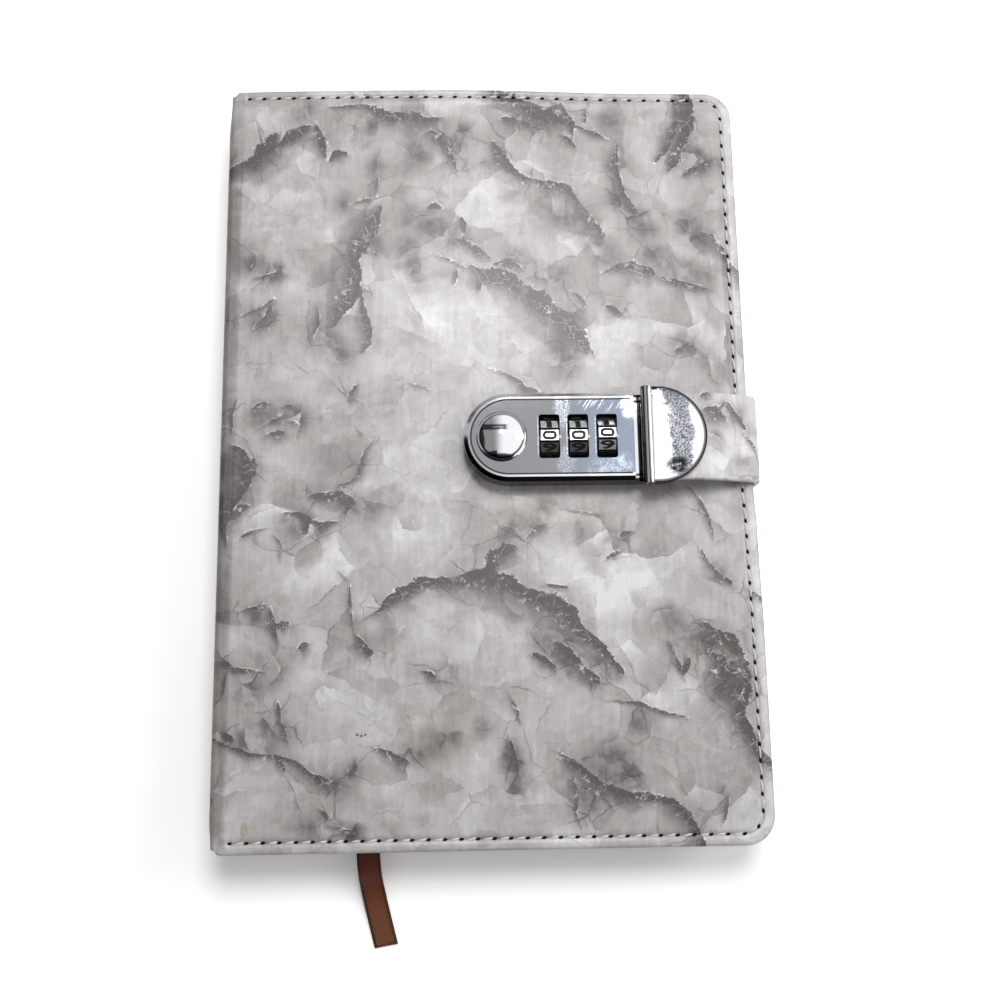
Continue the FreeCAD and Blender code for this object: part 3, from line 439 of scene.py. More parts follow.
marble = {
    # dark veins, each a line of (x, y, half width) in mm on the unrolled cover material
    "veins": [
        [(-77, 82, 1.4), (-71.5, 84, 1.6), (-67, 84.5, 2.2), (-63.5, 89, 3.0), (-61.5, 93, 2.4)],
        [(-60, 90.5, 1.5), (-57, 93, 2.3), (-52, 95.5, 1.7)],
        [(-49.8, 96, 0.9), (-48.5, 92, 1.4), (-47, 87, 0.9)],
        [(-45.5, 85.5, 0.8), (-43.5, 87.5, 1.5), (-41, 87.5, 0.8)],
        [(-44, 101.8, 0.4), (-36, 102.2, 0.9), (-31, 100, 1.7), (-27, 97.5, 2.0)],
        [(-27, 98.8, 1.6), (-22, 98.5, 2.2), (-18, 97.3, 1.5), (-13, 98, 0.5)],
        [(-16, 93.5, 1.6), (-12, 91, 1.2), (-9, 82.8, 0.4)], [(-31.8, 80, 0.45), (-32, 75, 0.4)],
        [(-38.5, 72.6, 0.3), (-34, 73.6, 0.5)],
        [(-31, 71, 0.8), (-33, 67, 2.1), (-36, 62, 2.5), (-38.5, 57, 2.2), (-38, 52, 2.4), (-38.5, 46, 2.6),
         (-42, 41, 2.2), (-44, 36, 1.4)],
        [(-37, 53, 1.2), (-36, 42, 0.7), (-34.5, 35, 1.2), (-34, 31, 1.3), (-36, 28, 0.7)],
        [(1, 112, 1.6), (3, 106, 1.8), (8, 103.5, 2.4), (13, 100.5, 2.8), (18, 98.5, 3.2), (23, 97, 2.4)],
        [(19, 101, 1.4), (22, 102.5, 1.0), (24.5, 97, 1.6), (25.3, 93.5, 0.5)],
        [(5, 98, 0.8), (9, 97.3, 1.1), (14, 96, 0.9), (16, 94.8, 0.4)], [(22, 93.5, 0.9), (26, 90, 0.7)],
        [(2, 90.5, 1.0), (4, 86, 1.9), (7, 82.5, 1.4), (10, 80, 0.9), (14, 79.5, 0.6), (18, 77.8, 1.2),
         (23, 76.8, 1.2), (27, 72, 0.8), (30, 67.5, 0.7), (33, 62.5, 2.0)],
        [(-17, 71, 0.5), (-15, 71.8, 1.1), (-13.5, 71, 0.5)], [(-7.5, 68, 0.8), (-6.5, 64, 0.9)],
        [(27, 96, 0.5), (31, 94.5, 0.7), (35, 92.8, 0.4)], [(29.5, 101, 0.4), (29.2, 97.5, 0.5)],
        [(38.3, 90, 0.6), (37.5, 84, 1.1), (38.5, 79, 0.7), (39, 75, 0.9), (41, 72, 1.4), (42.5, 69.5, 1.5)],
        [(57, 112, 1.8), (59, 103, 2.5), (58.8, 98, 2.3), (57.5, 93, 1.5), (55, 87, 1.8), (53.5, 83, 1.0)],
        [(55.7, 104, 0.5), (56, 98, 0.9), (53, 90, 1.3), (50, 86, 1.0)],
        [(58, 81.5, 0.7), (63, 84.5, 1.0), (66, 86, 0.5)],
        [(61, 63, 0.7), (65, 62.3, 0.8), (67.3, 58, 0.9), (69.5, 53, 0.9), (73, 49.5, 1.0), (78, 47, 0.8)],
        [(-14, 56.5, 0.3), (-10, 54.8, 0.35), (-7, 53.2, 0.4)], [(-9.2, 52, 0.5), (-9.7, 48.5, 0.45)],
        [(-9, 61.5, 0.5), (-5, 60, 0.9), (-2, 57, 1.0), (1, 55.5, 0.6)],
        [(-4.5, 53, 1.4), (-1, 51, 2.5), (4, 49.5, 2.6), (8, 47.5, 2.9), (12, 44, 3.1), (16, 40.5, 3.1),
         (20, 37.5, 3.0), (23, 34.5, 2.8), (25.5, 31.5, 2.4), (27.5, 28, 1.4)],
        [(-3, 50, 1.5), (-2.7, 46, 0.5)], [(2, 54, 0.8), (6, 54.8, 1.2), (9.5, 52.5, 0.6)],
        [(33.5, 51.5, 0.5), (38, 53.5, 1.0), (42, 53, 1.9), (46, 51.6, 1.6), (48, 50.6, 0.7)],
        [(50, 49.5, 0.7), (53, 48.4, 0.9), (57, 47.3, 0.7), (63, 46.3, 0.4)],
        [(24, 45.5, 0.5), (26.5, 43.5, 0.8), (28, 41.8, 0.3)],
        [(33.5, 41.5, 0.5), (36, 39.8, 0.9), (38.5, 38.5, 0.3)],
        [(27.5, 33.5, 0.5), (28, 30, 0.7), (29.8, 26.5, 0.4)],
        [(53, 27.5, 0.6), (55, 29, 1.2), (57.5, 29, 1.1)],
        [(1, 22.7, 0.35), (5, 21, 0.5), (8, 19, 0.6), (10, 16.5, 0.9), (14, 16, 0.8)],
        [(-22, 18.8, 0.35), (-17.5, 17.2, 0.3)], [(-66.5, 56, 0.6), (-67.3, 52.5, 0.5)],
        [(-65, 50.5, 0.7), (-60, 51.5, 0.6), (-59, 53.8, 0.5)],
        [(-69, 39.5, 0.5), (-64, 41.5, 0.6), (-61, 43.8, 0.4)],
        [(-65.5, 36, 0.5), (-62.5, 39, 0.9), (-62, 42, 0.6)],
        [(-48.5, 41, 0.4), (-48.3, 37, 0.6), (-49.5, 33, 0.4)], [(-39.3, 14, 0.9), (-37.5, 18, 0.8)],
        [(-66, 11.5, 0.6), (-64, 13, 0.9), (-62, 13.5, 0.4)], [(-57, 12.5, 0.6), (-54, 12, 0.4)],
        [(-62, 7.5, 0.4), (-59.5, 8.5, 0.7), (-58, 9.8, 0.3)], [(-56, 8.5, 0.4), (-53.5, 7.5, 0.4)],
        [(-61.5, 4.5, 0.9), (-57.5, 5, 0.8)], [(-70.8, 13.5, 0.4), (-71.8, 10, 0.5), (-71.7, 6, 0.4)],
        [(-71, 1, 1.0), (-69, -1, 1.9), (-68.5, -5, 2.5), (-68, -9, 2.2), (-69, -12, 1.5), (-72, -15, 1.2),
         (-73.5, -20, 1.2), (-72.5, -25, 0.5)], [(-65.4, -2, 0.6), (-65.3, -7, 0.9)],
        [(-69.5, -16, 0.7), (-66.5, -15.5, 0.6)],
        [(-49.5, -13, 1.0), (-46, -13.4, 1.1), (-42, -13.5, 2.1), (-39.5, -15, 1.7), (-40, -17.8, 0.6)],
        [(-42, -10.2, 0.5), (-39, -9.2, 0.4), (-36.8, -8, 0.5), (-35.5, -3, 0.7), (-34.5, 0, 0.4),
         (-32, 3, 0.2)], [(-56.5, -17.5, 0.4), (-53.5, -18, 0.7), (-51, -19.5, 1.6), (-51.2, -23, 1.4)],
        [(-49, -20, 0.9), (-46.5, -21.5, 1.2), (-43, -20.3, 0.6)],
        [(-68, -24, 0.5), (-65, -22.5, 0.6), (-62, -21.8, 0.3)], [(-59, -24, 0.35), (-57, -27, 0.4)],
        [(-66.5, -44, 0.6), (-64, -44, 1.0), (-61.8, -43, 0.5)],
        [(-60, -44, 0.6), (-59.5, -48, 0.9), (-58, -53, 0.6)], [(-58, -48.3, 0.8), (-55.5, -48, 0.9)],
        [(-41.5, -34, 0.3), (-39.5, -36, 0.3)], [(-38.7, -38, 0.25), (-38.8, -42, 0.35), (-37.8, -48, 0.5)],
        [(-37, -51, 0.3), (-35.5, -53.5, 0.8), (-33.5, -56, 1.1), (-33, -57.6, 0.3)],
        [(-34.5, -46.5, 0.3), (-30, -44.3, 0.6), (-26, -41, 1.6), (-22, -39, 1.9), (-18, -37.5, 1.6),
         (-13, -37, 1.6), (-8, -37, 2.1), (-4, -36.5, 2.5), (0, -37, 3.0), (4, -38.5, 3.1), (8, -40.5, 2.7),
         (12, -42, 2.4), (16, -44, 2.9), (20, -47, 2.7), (23, -51, 1.8), (27, -54, 1.3), (31, -59, 1.5),
         (34, -62, 1.1)], [(0, -34, 2.4), (1, -31, 2.6), (3.5, -29, 2.0), (6, -28, 1.0)],
        [(14, -38.3, 0.4), (20, -39, 0.4)], [(4, -22, 0.4), (7, -24.3, 0.5)],
        [(10, -24.7, 0.5), (12.5, -22.5, 0.6), (14.5, -21.5, 0.4)], [(22, -17.8, 0.25), (29, -19, 0.25)],
        [(31, -31.3, 0.5), (34, -29.5, 0.6)], [(35, -25, 0.4), (38, -23.8, 0.6)],
        [(55, -12, 0.3), (57, -15, 0.4), (59, -20, 0.35), (60, -25, 0.25)],
        [(56.5, -29, 0.3), (58.5, -33.5, 0.5), (62, -37, 0.5), (64, -38.3, 0.8)],
        [(68.5, -40, 0.4), (71, -42, 0.6), (76, -46, 0.6)],
        [(-71.5, -58, 1.1), (-69.5, -60, 0.6), (-63, -60.3, 0.5)], [(-71.3, -61, 0.4), (-72, -66, 0.4)],
        [(-52, -54.5, 1.2), (-50, -53.5, 0.8)], [(-57.5, -69, 0.5), (-57, -73, 0.6), (-55, -78, 0.35)],
        [(-61, -73, 0.5), (-58.5, -76.5, 0.4)], [(-71, -77, 1.1), (-69.3, -78.5, 0.7)],
        [(-74, -78, 0.4), (-70, -80, 0.4), (-65, -82, 0.5), (-58, -82.5, 0.4), (-53, -84, 0.5),
         (-49, -87, 0.7), (-46, -89, 1.0), (-44, -89.5, 0.8), (-43, -88, 0.3)],
        [(-57.5, -83.5, 0.4), (-55.5, -86, 0.5)],
        [(-31.5, -81, 0.4), (-28, -82.3, 0.8), (-25, -83.8, 1.1), (-23, -84.6, 0.5)],
        [(-36.5, -84, 0.3), (-37, -87, 0.45)], [(-45.5, -96.5, 0.5), (-44, -98.5, 0.7)],
        [(-43, -100.5, 0.3), (-36, -102.5, 0.3)], [(-19, -61, 0.5), (-17, -62, 0.8), (-15, -63.3, 0.4)],
        [(4.5, -68.5, 0.25), (6, -72, 0.4), (6.7, -74.5, 0.3)], [(4, -80, 0.7), (5, -85, 0.9), (6, -88, 0.4)],
        [(20.5, -90, 0.4), (21.5, -94, 0.3), (20.7, -98, 0.55), (22, -101.5, 0.4)],
        [(17, -83, 0.4), (20, -85.5, 0.9), (24, -89, 1.2), (28, -92.3, 1.5), (32, -94, 1.4),
         (37, -94.5, 1.2), (42, -95, 0.9), (46, -96.5, 1.2), (49, -99.5, 1.5), (51.5, -103, 1.3),
         (54.5, -110, 1.1)], [(22, -89, 0.5), (26, -92.5, 0.4), (29.5, -96.5, 0.3)],
        [(11, -57, 1.0), (16, -60.3, 0.9)], [(17, -54.5, 1.5), (27, -64, 1.4)],
        [(47, -55, 0.8), (48.2, -59, 0.8), (50, -63.5, 0.4)], [(51.5, -59, 0.8), (50.3, -63, 0.5)],
        [(56, -49, 0.6), (58.5, -51.5, 1.5), (63, -55, 2.0), (66, -60, 1.7), (67.5, -64, 0.9)],
        [(58, -58, 1.6), (62, -62, 3.2), (65, -68, 2.8), (64, -73, 1.8), (66, -78, 1.5), (68.5, -83, 1.2),
         (71, -86.5, 1.3), (78, -93, 1.2)],
        [(33, -69.5, 0.3), (39, -70.7, 0.5), (45, -73, 0.6), (50, -74, 0.4)],
        [(60.4, -95, 0.3), (59, -101, 0.4)],
    ],
    # softer grey patches, (x, y, reach) in mm, darkest in the middle
    "clouds": [
        [(-54, 101, 5)], [(-42, 96, 5), (-35, 95, 5)], [(-20, 87, 6), (-30, 84, 5)],
        [(-12, 93, 6), (-4, 88, 6)], [(-6.5, 94.5, 4)], [(8, 75, 5), (16, 70, 7), (28, 68, 5)],
        [(-10, 62, 5), (-22, 68, 5)], [(-34, 64, 6), (-31, 58, 4)], [(-40, 72, 5)],
        [(-68, 55, 6), (-62, 52, 5)], [(-64, 38, 6)], [(-47, 32, 6), (-42, 27, 6)],
        [(-62, 10, 7), (-54, 9, 6)], [(20, 24, 7), (24, 38, 5)], [(9, 55, 5), (20, 50, 6)],
        [(45, 65, 7), (38, 74, 5)], [(34, 58, 6), (30, 63, 5)], [(58, 90, 5), (64, 85, 6)],
        [(58, 66, 5), (62, 60, 4)], [(48, 57, 5), (60, 50, 6)], [(56, 30, 5), (64, 22, 5)], [(-56, -22, 6)],
        [(-67, -6, 5), (-70, -20, 4)], [(-60, -60, 7), (-66, -66, 6)], [(-58, -76, 6), (-66, -78, 5)],
        [(-41, -91, 5), (-38, -87, 4)], [(-48, -102, 5), (-38, -102, 4)], [(-12, -78, 5), (-20, -82, 4)],
        [(-4, -76, 4)], [(4, -83, 5), (6, -92, 5)], [(4, -24, 6), (14, -18, 6)], [(24, -24, 7), (30, -26, 5)],
        [(14, -52, 6), (20, -58, 7), (27, -62, 6)], [(46, -48, 6), (56, -54, 7), (62, -66, 8)],
        [(38, -75, 4)], [(30, -84, 6), (36, -90, 5)], [(24, -96, 5)], [(60, -36, 5)], [(-62, -46, 5)],
        [(66, 10, 6)], [(36, 99, 4)], [(-24, 60, 5), (-20, 50, 5)], [(-36, -16, 6), (-28, -14, 5)],
        [(-12, -62, 6)],
    ],
    # lighter places, (x, y, reach) in mm; the group round (-1, 28) is a painted sheen highlight
    "lights": [
        [(-64, 101, 7)], [(-6, 80, 8), (2, 72, 8)], [(-20, 76, 4)], [(-4, 36, 14), (2, 28, 14), (-2, 20, 9)],
        [(45, 44, 8), (40, 32, 9)], [(30, 90, 6), (32, 78, 5)], [(45, 95, 6), (48, 88, 6)],
        [(66, 75, 5), (66, 68, 5)], [(36, 67, 5)], [(55, 57, 5), (64, 55, 3)], [(58, 40, 5)], [(-60, 74, 8)],
        [(-55, 48, 6)], [(-28, 42, 9), (-24, 26, 9)], [(-34, -10, 4)], [(-46, -31, 5)],
        [(-20, -10, 12), (-24, -24, 10)], [(16, -30, 5), (20, -33, 6), (26, -36, 5)],
        [(30, -42, 8), (42, -36, 6)], [(45, -71, 4), (52, -68, 4)], [(-4, -86, 4), (0, -83, 3)],
        [(-24, -92, 8)], [(-20, -54, 10), (-10, -66, 7)], [(12, -12, 7), (2, -14, 5)], [(34, -55, 5)],
        [(68, -2, 5)], [(-16, 102, 7)], [(42, 70, 3)],
    ],
    # slow changes of tone, (x, y, reach across, reach along, how much darker)
    "drifts": [
        (-46, 20, 36, 36, 0.048), (52, 33, 26, 26, 0.035), (43, -92, 36, 24, 0.045), (1, -64, 30, 28, -0.022),
    ],
    "backShift": 172.0,       # the back cover shows the pattern turned round, this far along
    # three small marks and two stains, (x, y, reach across, reach along)
    "dots": [(-36.4, -77.3, 0.45, 0.40), (-35.3, -77.6, 0.45, 0.35), (-34.3, -77.3, 0.40, 0.40)],
    "tan": (-65.5, -101.0, 1.3, 2.2),
    "olive": [(-14.0, -78.0, 12.0, 9.0), (14.0, -19.0, 22.0, 6.0)],
}


def tapered(line):
    # a vein's line, drawn out to thin tips
    (x0, y0, w0), (x1, y1, w1) = line[0], line[-1]
    inner = list(line[1:-1]) or [((x0 + x1) / 2, (y0 + y1) / 2, (w0 + w1) / 2 * 1.15)]
    first, last = inner[0], inner[-1]
    start = [(x0 + (x0 - first[0]) * 0.25, y0 + (y0 - first[1]) * 0.25, 0.05), (x0, y0, w0 * 0.6)]
    end = [(x1, y1, w1 * 0.6), (x1 + (x1 - last[0]) * 0.25, y1 + (y1 - last[1]) * 0.25, 0.05)]
    return start + inner + end


def veinFields(points, lines):
    # for each point: depth inside the nearest vein, which side of it, and its half width
    best = np.full(len(points), -6.0)
    total = np.full(len(points), 1e-9)
    sides = np.zeros(len(points))
    widths = np.zeros(len(points))
    for line in lines:
        line = tapered(line)
        level = np.full(len(points), -99.0)
        side = np.zeros(len(points))
        width = np.zeros(len(points))
        for (x0, y0, w0), (x1, y1, w1) in zip(line, line[1:]):
            run = np.array([x1 - x0, y1 - y0])
            length = max(np.hypot(*run), 1e-6)
            off = points - (x0, y0)
            share = np.clip(off @ run / length ** 2, 0, 1)
            apart = np.hypot(*(off - share[:, None] * run).T)
            across = (off[:, 1] * run[0] - off[:, 0] * run[1]) / length
            reach = w0 + (w1 - w0) * share
            better = reach - apart > level
            level = np.where(better, reach - apart, level)
            side = np.where(better, across / (reach + 0.8), side)
            width = np.where(better, reach, width)
        weight = np.exp(3 * level)
        total += weight
        sides += weight * np.clip(side, -1, 1)
        widths += weight * width
        best = np.maximum(best, level)
    return np.stack([best, sides / total, widths / total], 1)


def softPatches(points, groups):
    # strength from 0 to 1 of soft patches strung along short lines
    total = np.zeros(len(points))
    for group in groups:
        last = group[0]
        level = np.zeros(len(points))
        for place in group:
            steps = max(2, int(math.dist(last[:2], place[:2]) / 2))
            for share in np.linspace(0, 1, steps):
                x, y, reach = [a + (b - a) * share for a, b in zip(last, place)]
                apart = np.hypot(points[:, 0] - x, points[:, 1] - y)
                level = np.maximum(level, np.exp(-(apart / reach) ** 2 * 1.6))
            last = place
        total = np.maximum(total, level)
    return total


def markSheet(piece, u, v, paintedShading, turned=False, marks=marble):
    # stores where each vertex lies on the unrolled material, in mm, the pattern there, and its painted
    # highlight and painted shade
    flat = np.stack([u, v], 1)
    patternAt = -flat - (marble["backShift"], 0) if turned else flat
    patches = [softPatches(patternAt, marks[kind]) for kind in ("clouds", "lights")]
    fields = {
        "sheet": np.column_stack([flat, np.zeros(len(flat))]),
        "vein": veinFields(patternAt, marks["veins"]),
        "tone": np.column_stack([*patches, paintedShading]),
    }
    for name, values in fields.items():
        layer = piece.data.attributes.new(name, "FLOAT_VECTOR", "POINT")
        layer.data.foreach_set("vector", values.astype(np.float32).ravel())
    piece.data.materials.append(marbleSkin)


def blobs(where, *spots):
    # soft oval spots, each (x, y, reach across, reach along) in mm, 1 in the middle
    total = None
    for x, y, reachX, reachY in spots:
        across = (where[0] - x) / reachX
        along = (where[1] - y) / reachY
        level = (across * across + along * along).ramp(0.15, 1.0, 1.0, 0.0)
        total = level if total is None else total.most(level)
    return total


def marbleFinish():
    skin = Finish("marble_print", Roughness=0.40, Specular_IOR_Level=0.45)
    sheet, vein, tone = [skin.stored(name) for name in ("sheet", "vein", "tone")]
    drift = skin.swirl(sheet, 0.05, 3.0, 0.5, 12)
    tear = skin.swirl(sheet, 0.32, 6.0, 0.66, 4.5)
    bent = sheet.shift(drift).shift(tear)
    jagged = skin.noise(sheet, 0.55, 6.0, 0.68) - 0.5
    ragged = skin.noise(sheet, 0.16, 5.0, 0.62) - 0.5
    fine = skin.noise(sheet, 1.5, 5.0, 0.7) - 0.5
    broad = skin.noise(sheet.shift(drift), 0.020, 3.0, 0.5) - 0.5
    middle = skin.noise(sheet.shift(drift), 0.07, 7.0, 0.64) - 0.5
    brushed = skin.noise(sheet.scaled(1.0, 0.14, 1.0), 0.8, 2.0) - 0.5

    # plates: angular pieces of slightly different grey, each shaded towards one side
    slight = sheet.shift(drift).shift(tear.scaled(0.55, 0.55, 0))

    def plates(scale, where):
        at = slight.shift(where)
        pick = skin.cells(at, scale, out=1)
        off = at.shift(skin.cells(at, scale, out=2), "SUBTRACT")
        shade = ((pick[1] - 0.5) * off[0] + (pick[2] - 0.5) * off[1]) * (scale * 2.4)
        return pick[0] - 0.5 + shade, skin.borders(at, scale, 0.28)

    bigTone, bigLine = plates(0.042, (7.0, 3.0, 0.0))
    midTone, midLine = plates(0.115, (40.0, 11.0, 0.0))
    tiny = skin.cells(bent.shift((9.0, 9.0, 0.0)), 0.34, out=1)
    seen = skin.noise(sheet, 0.060, 4.0)
    apart = skin.noise(sheet.shift((30.0, 80.0, 0.0)), 0.050, 3.0)

    # drifts of tone, a few of them ending in a ragged edge
    narrow = (skin.noise(bent.shift((50.0, 20.0, 0.0)), 0.050, 3.0, 0.5) * 7.0).part() - 0.5
    level = broad * 0.14 + middle * 0.24 + jagged * 0.10 + fine * 0.11 + brushed * 0.11 + 0.722
    level = level - sheet[1].ramp(0.0, 110.0) * 0.022
    for *spot, darker in marble["drifts"]:
        level = level - blobs(sheet, spot) * darker
    level = level + bigTone * seen.ramp(0.40, 0.54) * 0.12 + midTone * apart.ramp(0.44, 0.58) * 0.10
    level = level + narrow * apart.ramp(0.52, 0.42) * 0.055 + (tiny[0] - 0.5) * 0.045
    grit = jagged * 1.1 + fine * 0.9
    cloud = tone[0] * (ragged * 1.9 + middle * 1.6 + grit + midTone * 0.8 + narrow * 0.4 + 0.70).most(0.0)
    # lighter places, one of them a painted sheen highlight
    level = level - cloud * 0.27 + tone[1] * (middle * 0.8 + 0.8) * 0.09
    # hairline cracks here and there, dark or pale
    level = level - bigLine * seen.ramp(0.56, 0.63) * 0.14 - midLine * seen.ramp(0.45, 0.40) * 0.07
    level = level + bigLine * seen.ramp(0.42, 0.34) * 0.08

    # dark veins: crisp, torn and darkest on one side, fading on the other
    reach = vein[2]
    inside = vein[0] + (ragged * 5.2 + jagged * 2.6 + fine * 1.6) * (reach * 0.44 + 0.20)
    torn = (vein[1] + ragged * 2.8 + middle + 0.12).ramp(-0.4, 0.3)
    hard = inside.ramp(-0.06, 0.12)
    soft = (inside + reach * 0.80 + 0.15).ramp(-0.6, reach * 1.6 + 0.8)
    dark = soft + (hard - soft) * torn
    strength = (ragged * 2.2 + middle * 1.8 + 1.15).least(1.0).most(0.40)
    heart = (inside - reach * 0.35).ramp(-0.2, 0.9) * 0.05 + vein[1].ramp(-0.1, 0.9) * 0.13
    ink = (ragged * 0.34 + jagged * 0.60 + fine * 0.80) + 0.344 - heart
    level = level + (ink - level) * dark * strength
    haze = (inside + reach * 1.6 + 1.4).ramp(-0.6, 2.4) * (1.0 - torn * 0.7)
    level = level - haze * (1.0 - dark) * 0.11
    level = level - midLine * (inside + 5.0).ramp(0.0, 3.0) * (1.0 - dark) * apart.ramp(0.48, 0.52) * 0.13
    lip = (inside + 0.18).size().ramp(0.04, 0.22, 1.0, 0.0) * torn
    level = level + lip * skin.noise(sheet, 0.34, 4.0).ramp(0.50, 0.60) * 0.24
    flecks = skin.noise(sheet.shift(tear), 0.62, 5.0, 0.7).ramp(0.57, 0.60) * inside.ramp(-1.9, -0.2)
    level = level + flecks * (0.80 - level) * 0.85 * skin.noise(sheet, 0.11, 2.0).ramp(0.48, 0.58)
    web = skin.borders(slight, 0.30, 0.17)
    level = level + web * dark * inside.ramp(0.0, 0.5) * skin.noise(sheet, 0.13, 3.0).ramp(0.50, 0.56) * 0.30
    specks = skin.noise(sheet.shift((5.0, 9.0, 0.0)), 1.1, 4.0, 0.7).ramp(0.655, 0.69)
    level = level - specks * (inside + 3.0).ramp(-0.5, 2.0) * (1.0 - dark) * 0.22
    # painted highlight and painted shade stored with each vertex: lighter rims and strap, darker seams,
    # under-edges and folds
    level = level + tone[2].most(0.0) * 0.14 + tone[2].least(0.0) * 0.16
    level = level - blobs(sheet, *marble["dots"]).ramp(0.0, 0.5) * 0.35

    colour = skin.node("ShaderNodeValToRGB", {"stops": [
        (0.30, (0.090, 0.076, 0.072)),
        (0.45, (0.186, 0.166, 0.160)),
        (0.60, (0.338, 0.318, 0.308)),
        (0.70, (0.466, 0.446, 0.436)),
        (0.80, (0.616, 0.602, 0.590)),
        (0.92, (0.820, 0.812, 0.800)),
    ]}, {"Fac": level})
    tan = blobs(sheet.shift(tear.scaled(0.2, 0.2, 0)), marble["tan"]).ramp(0.0, 0.6)
    colour = skin.mix(tan * 0.35, colour, (0.30, 0.22, 0.10))
    large, small = [blobs(bent, spot) for spot in marble["olive"]]
    colour = skin.mix(large.most(small * 0.5) * 0.06, colour, (0.40, 0.40, 0.20))
    return skin.paint(colour, skin.noise(sheet, 3.4, 4.0, 0.6) + middle * 0.8, 0.12, 0.00012)


marbleSkin = marbleFinish()
print("marble print made")


frontLow, frontHigh = boxOf("front_skin")
caseLow, caseHigh = boxOf("lock_case")
lockY = (caseLow.y + caseHigh.y) / 2
caseHalf = (caseHigh.y - caseLow.y) / 2
halfHeight = frontHigh.y
fore = frontHigh.x
top = frontHigh.z

cover = {
    "cornerRadius": 8.0,
    "topRound": 1.0,
    "sideFlat": 1.5,
    "bottomRound": 1.1,
    "turnIn": 3.4,            # how far the material runs back under the cover
    "cells": {"frontCover": 0.64, "backCover": 1.1},
    "spineRound": 1.8,
    "spineTurn": 0.75,        # radius of its turned edges
    "spineTurnIn": (3.5, 7.0),
    "spineCell": 1.7,
    "foldStart": -73.1,       # the fold line lies between these
    "foldEnd": -72.3,
    "fineEnd": -70.2,         # the grid is finer between the fold and here
    "creaseX": -71.4,
    "creaseDepth": 0.05,
    "creaseWidth": 0.5,
    "grooveDepth": 0.30,      # along the seam
    "grooveWidth": 0.62,
    "holeDepth": 0.16,
    "holeWidth": 0.75,
    "rimBulge": 0.10,         # beside the seam
    "rimPlace": 1.5,
    "rimWidth": 0.8,
    "flatByLock": (11, 17),   # the padding begins between these distances from the lock's middle
    "stitchInsets": {"fore": 3.2, "head": 2.5, "tail": 3.1},
    "stitchCorner": 5.4,
    "stitchPitch": 4.3,
    "stitchStart": -69.3,
    "underLock": 3.0,         # the opening's edge lies this far inside the lock's outline
    "foldCorner": 1.3,        # rounding of the corners beside the fold
    "headSwell": [(-72, 0.7), (-60, 1.0), (-40, 1.3), (-10, 1.5), (5, 1.3), (20, 0.8), (36, 0.3), (64, 0.0)],
    "foreSwell": [(-100, 1.3), (-49, 1.3), (-35, 1.05), (-21, 0.9), (-7, 0.25), (4, 0.0)],
}


def edgeProfile(m):
    # unrolled distance inside a rim -> (distance inside the outline, drop below the outer face)
    r1, r2, flat = cover["topRound"], cover["bottomRound"], cover["sideFlat"]
    t = r1 - m
    first = r1 * math.pi / 2
    second = first + flat
    third = second + r2 * math.pi / 2
    a = np.clip(t, 0, first) / r1
    b = np.clip(t - second, 0, third - second) / r2
    inset = np.where(t <= 0, m, r1 - r1 * np.sin(a))
    inset = np.where(t > second, r2 - r2 * np.cos(b), inset)
    inset = np.where(t > third, r2 + t - third, inset)
    drop = r1 - r1 * np.cos(a) + np.clip(t - first, 0, flat) + r2 * np.sin(b)
    return inset, np.where(t <= 0, 0.0, drop)


def rimStops():
    # unrolled distances inside a rim, from the flat face to the end of the turned-in part
    r1, r2, flat = cover["topRound"], cover["bottomRound"], cover["sideFlat"]
    inner = list(np.linspace(cover["cornerRadius"], 4.4, 6)) + list(np.linspace(4.1, r1, 10))
    turns = [r1 * math.pi / 2 * k / 6 for k in range(1, 7)] + [r1 * math.pi / 2 + flat]
    base = turns[-1]
    turns += [base + r2 * math.pi / 2 * k / 4 for k in range(1, 5)]
    turns += [turns[-1] + cover["turnIn"] * k / 3 for k in range(1, 4)]
    return np.array(inner + [r1 - t for t in turns])


def gridPiece(us, vs):
    # a grid of len(us) by len(vs) vertices, and each vertex's stops
    bm = bmesh.new()
    bmesh.ops.create_grid(bm, x_segments=len(us) - 1, y_segments=len(vs) - 1, size=0.5)
    flat = np.array([vertex.co[:2] for vertex in bm.verts]) + 0.5
    i, j = np.rint(flat * (len(us) - 1, len(vs) - 1)).astype(int).T
    return bm, np.array(us)[i], np.array(vs)[j]


def setPlaces(bm, x, y, z):
    for vertex, place in zip(bm.verts, np.stack([x, y, z], 1) * mm):
        vertex.co = place


def stitchPath():
    # the seam along the tail, fore edge and head, and its needle holes
    insets = cover["stitchInsets"]
    r = cover["stitchCorner"]
    x1 = fore - insets["fore"]
    yTail = -halfHeight + insets["tail"]
    yHead = halfHeight - insets["head"]
    path = [(cover["stitchStart"], yTail)]
    turns = np.linspace(0, math.pi / 2, 9)
    for y, towards in ((yTail + r, -1), (yHead - r, 1)):
        quarter = [(x1 - r + r * math.sin(a), y + towards * r * math.cos(a)) for a in turns]
        path += quarter[::-towards]
    path += [(cover["stitchStart"], yHead)]
    line = np.array(path)
    return line, evenly(line, cover["stitchPitch"])[0]


seamLine, seamHoles = stitchPath()


def foldShade(away, y):
    # the material gets painted shade beside the fold lines, less so at the head and at the tail
    ends = np.clip((104 - y) / 24, 0.15, 1) * np.clip((y + 108.5) / 7, 0.2, 1)
    return -1.15 * np.clip(1.15 - np.maximum(away - 0.3, 0) / 1.5, 0, 1) * ends


def distanceToSeam(points):
    near = np.full(len(points), 99.0)
    for a, b in zip(seamLine, seamLine[1:]):
        run = b - a
        share = np.clip((points - a) @ run / (run @ run), 0, 1)
        near = np.minimum(near, np.hypot(*(points - a - share[:, None] * run).T))
    return near


def distanceToHoles(points):
    return np.min([np.hypot(*(points - hole).T) for hole in seamHoles], axis=0)


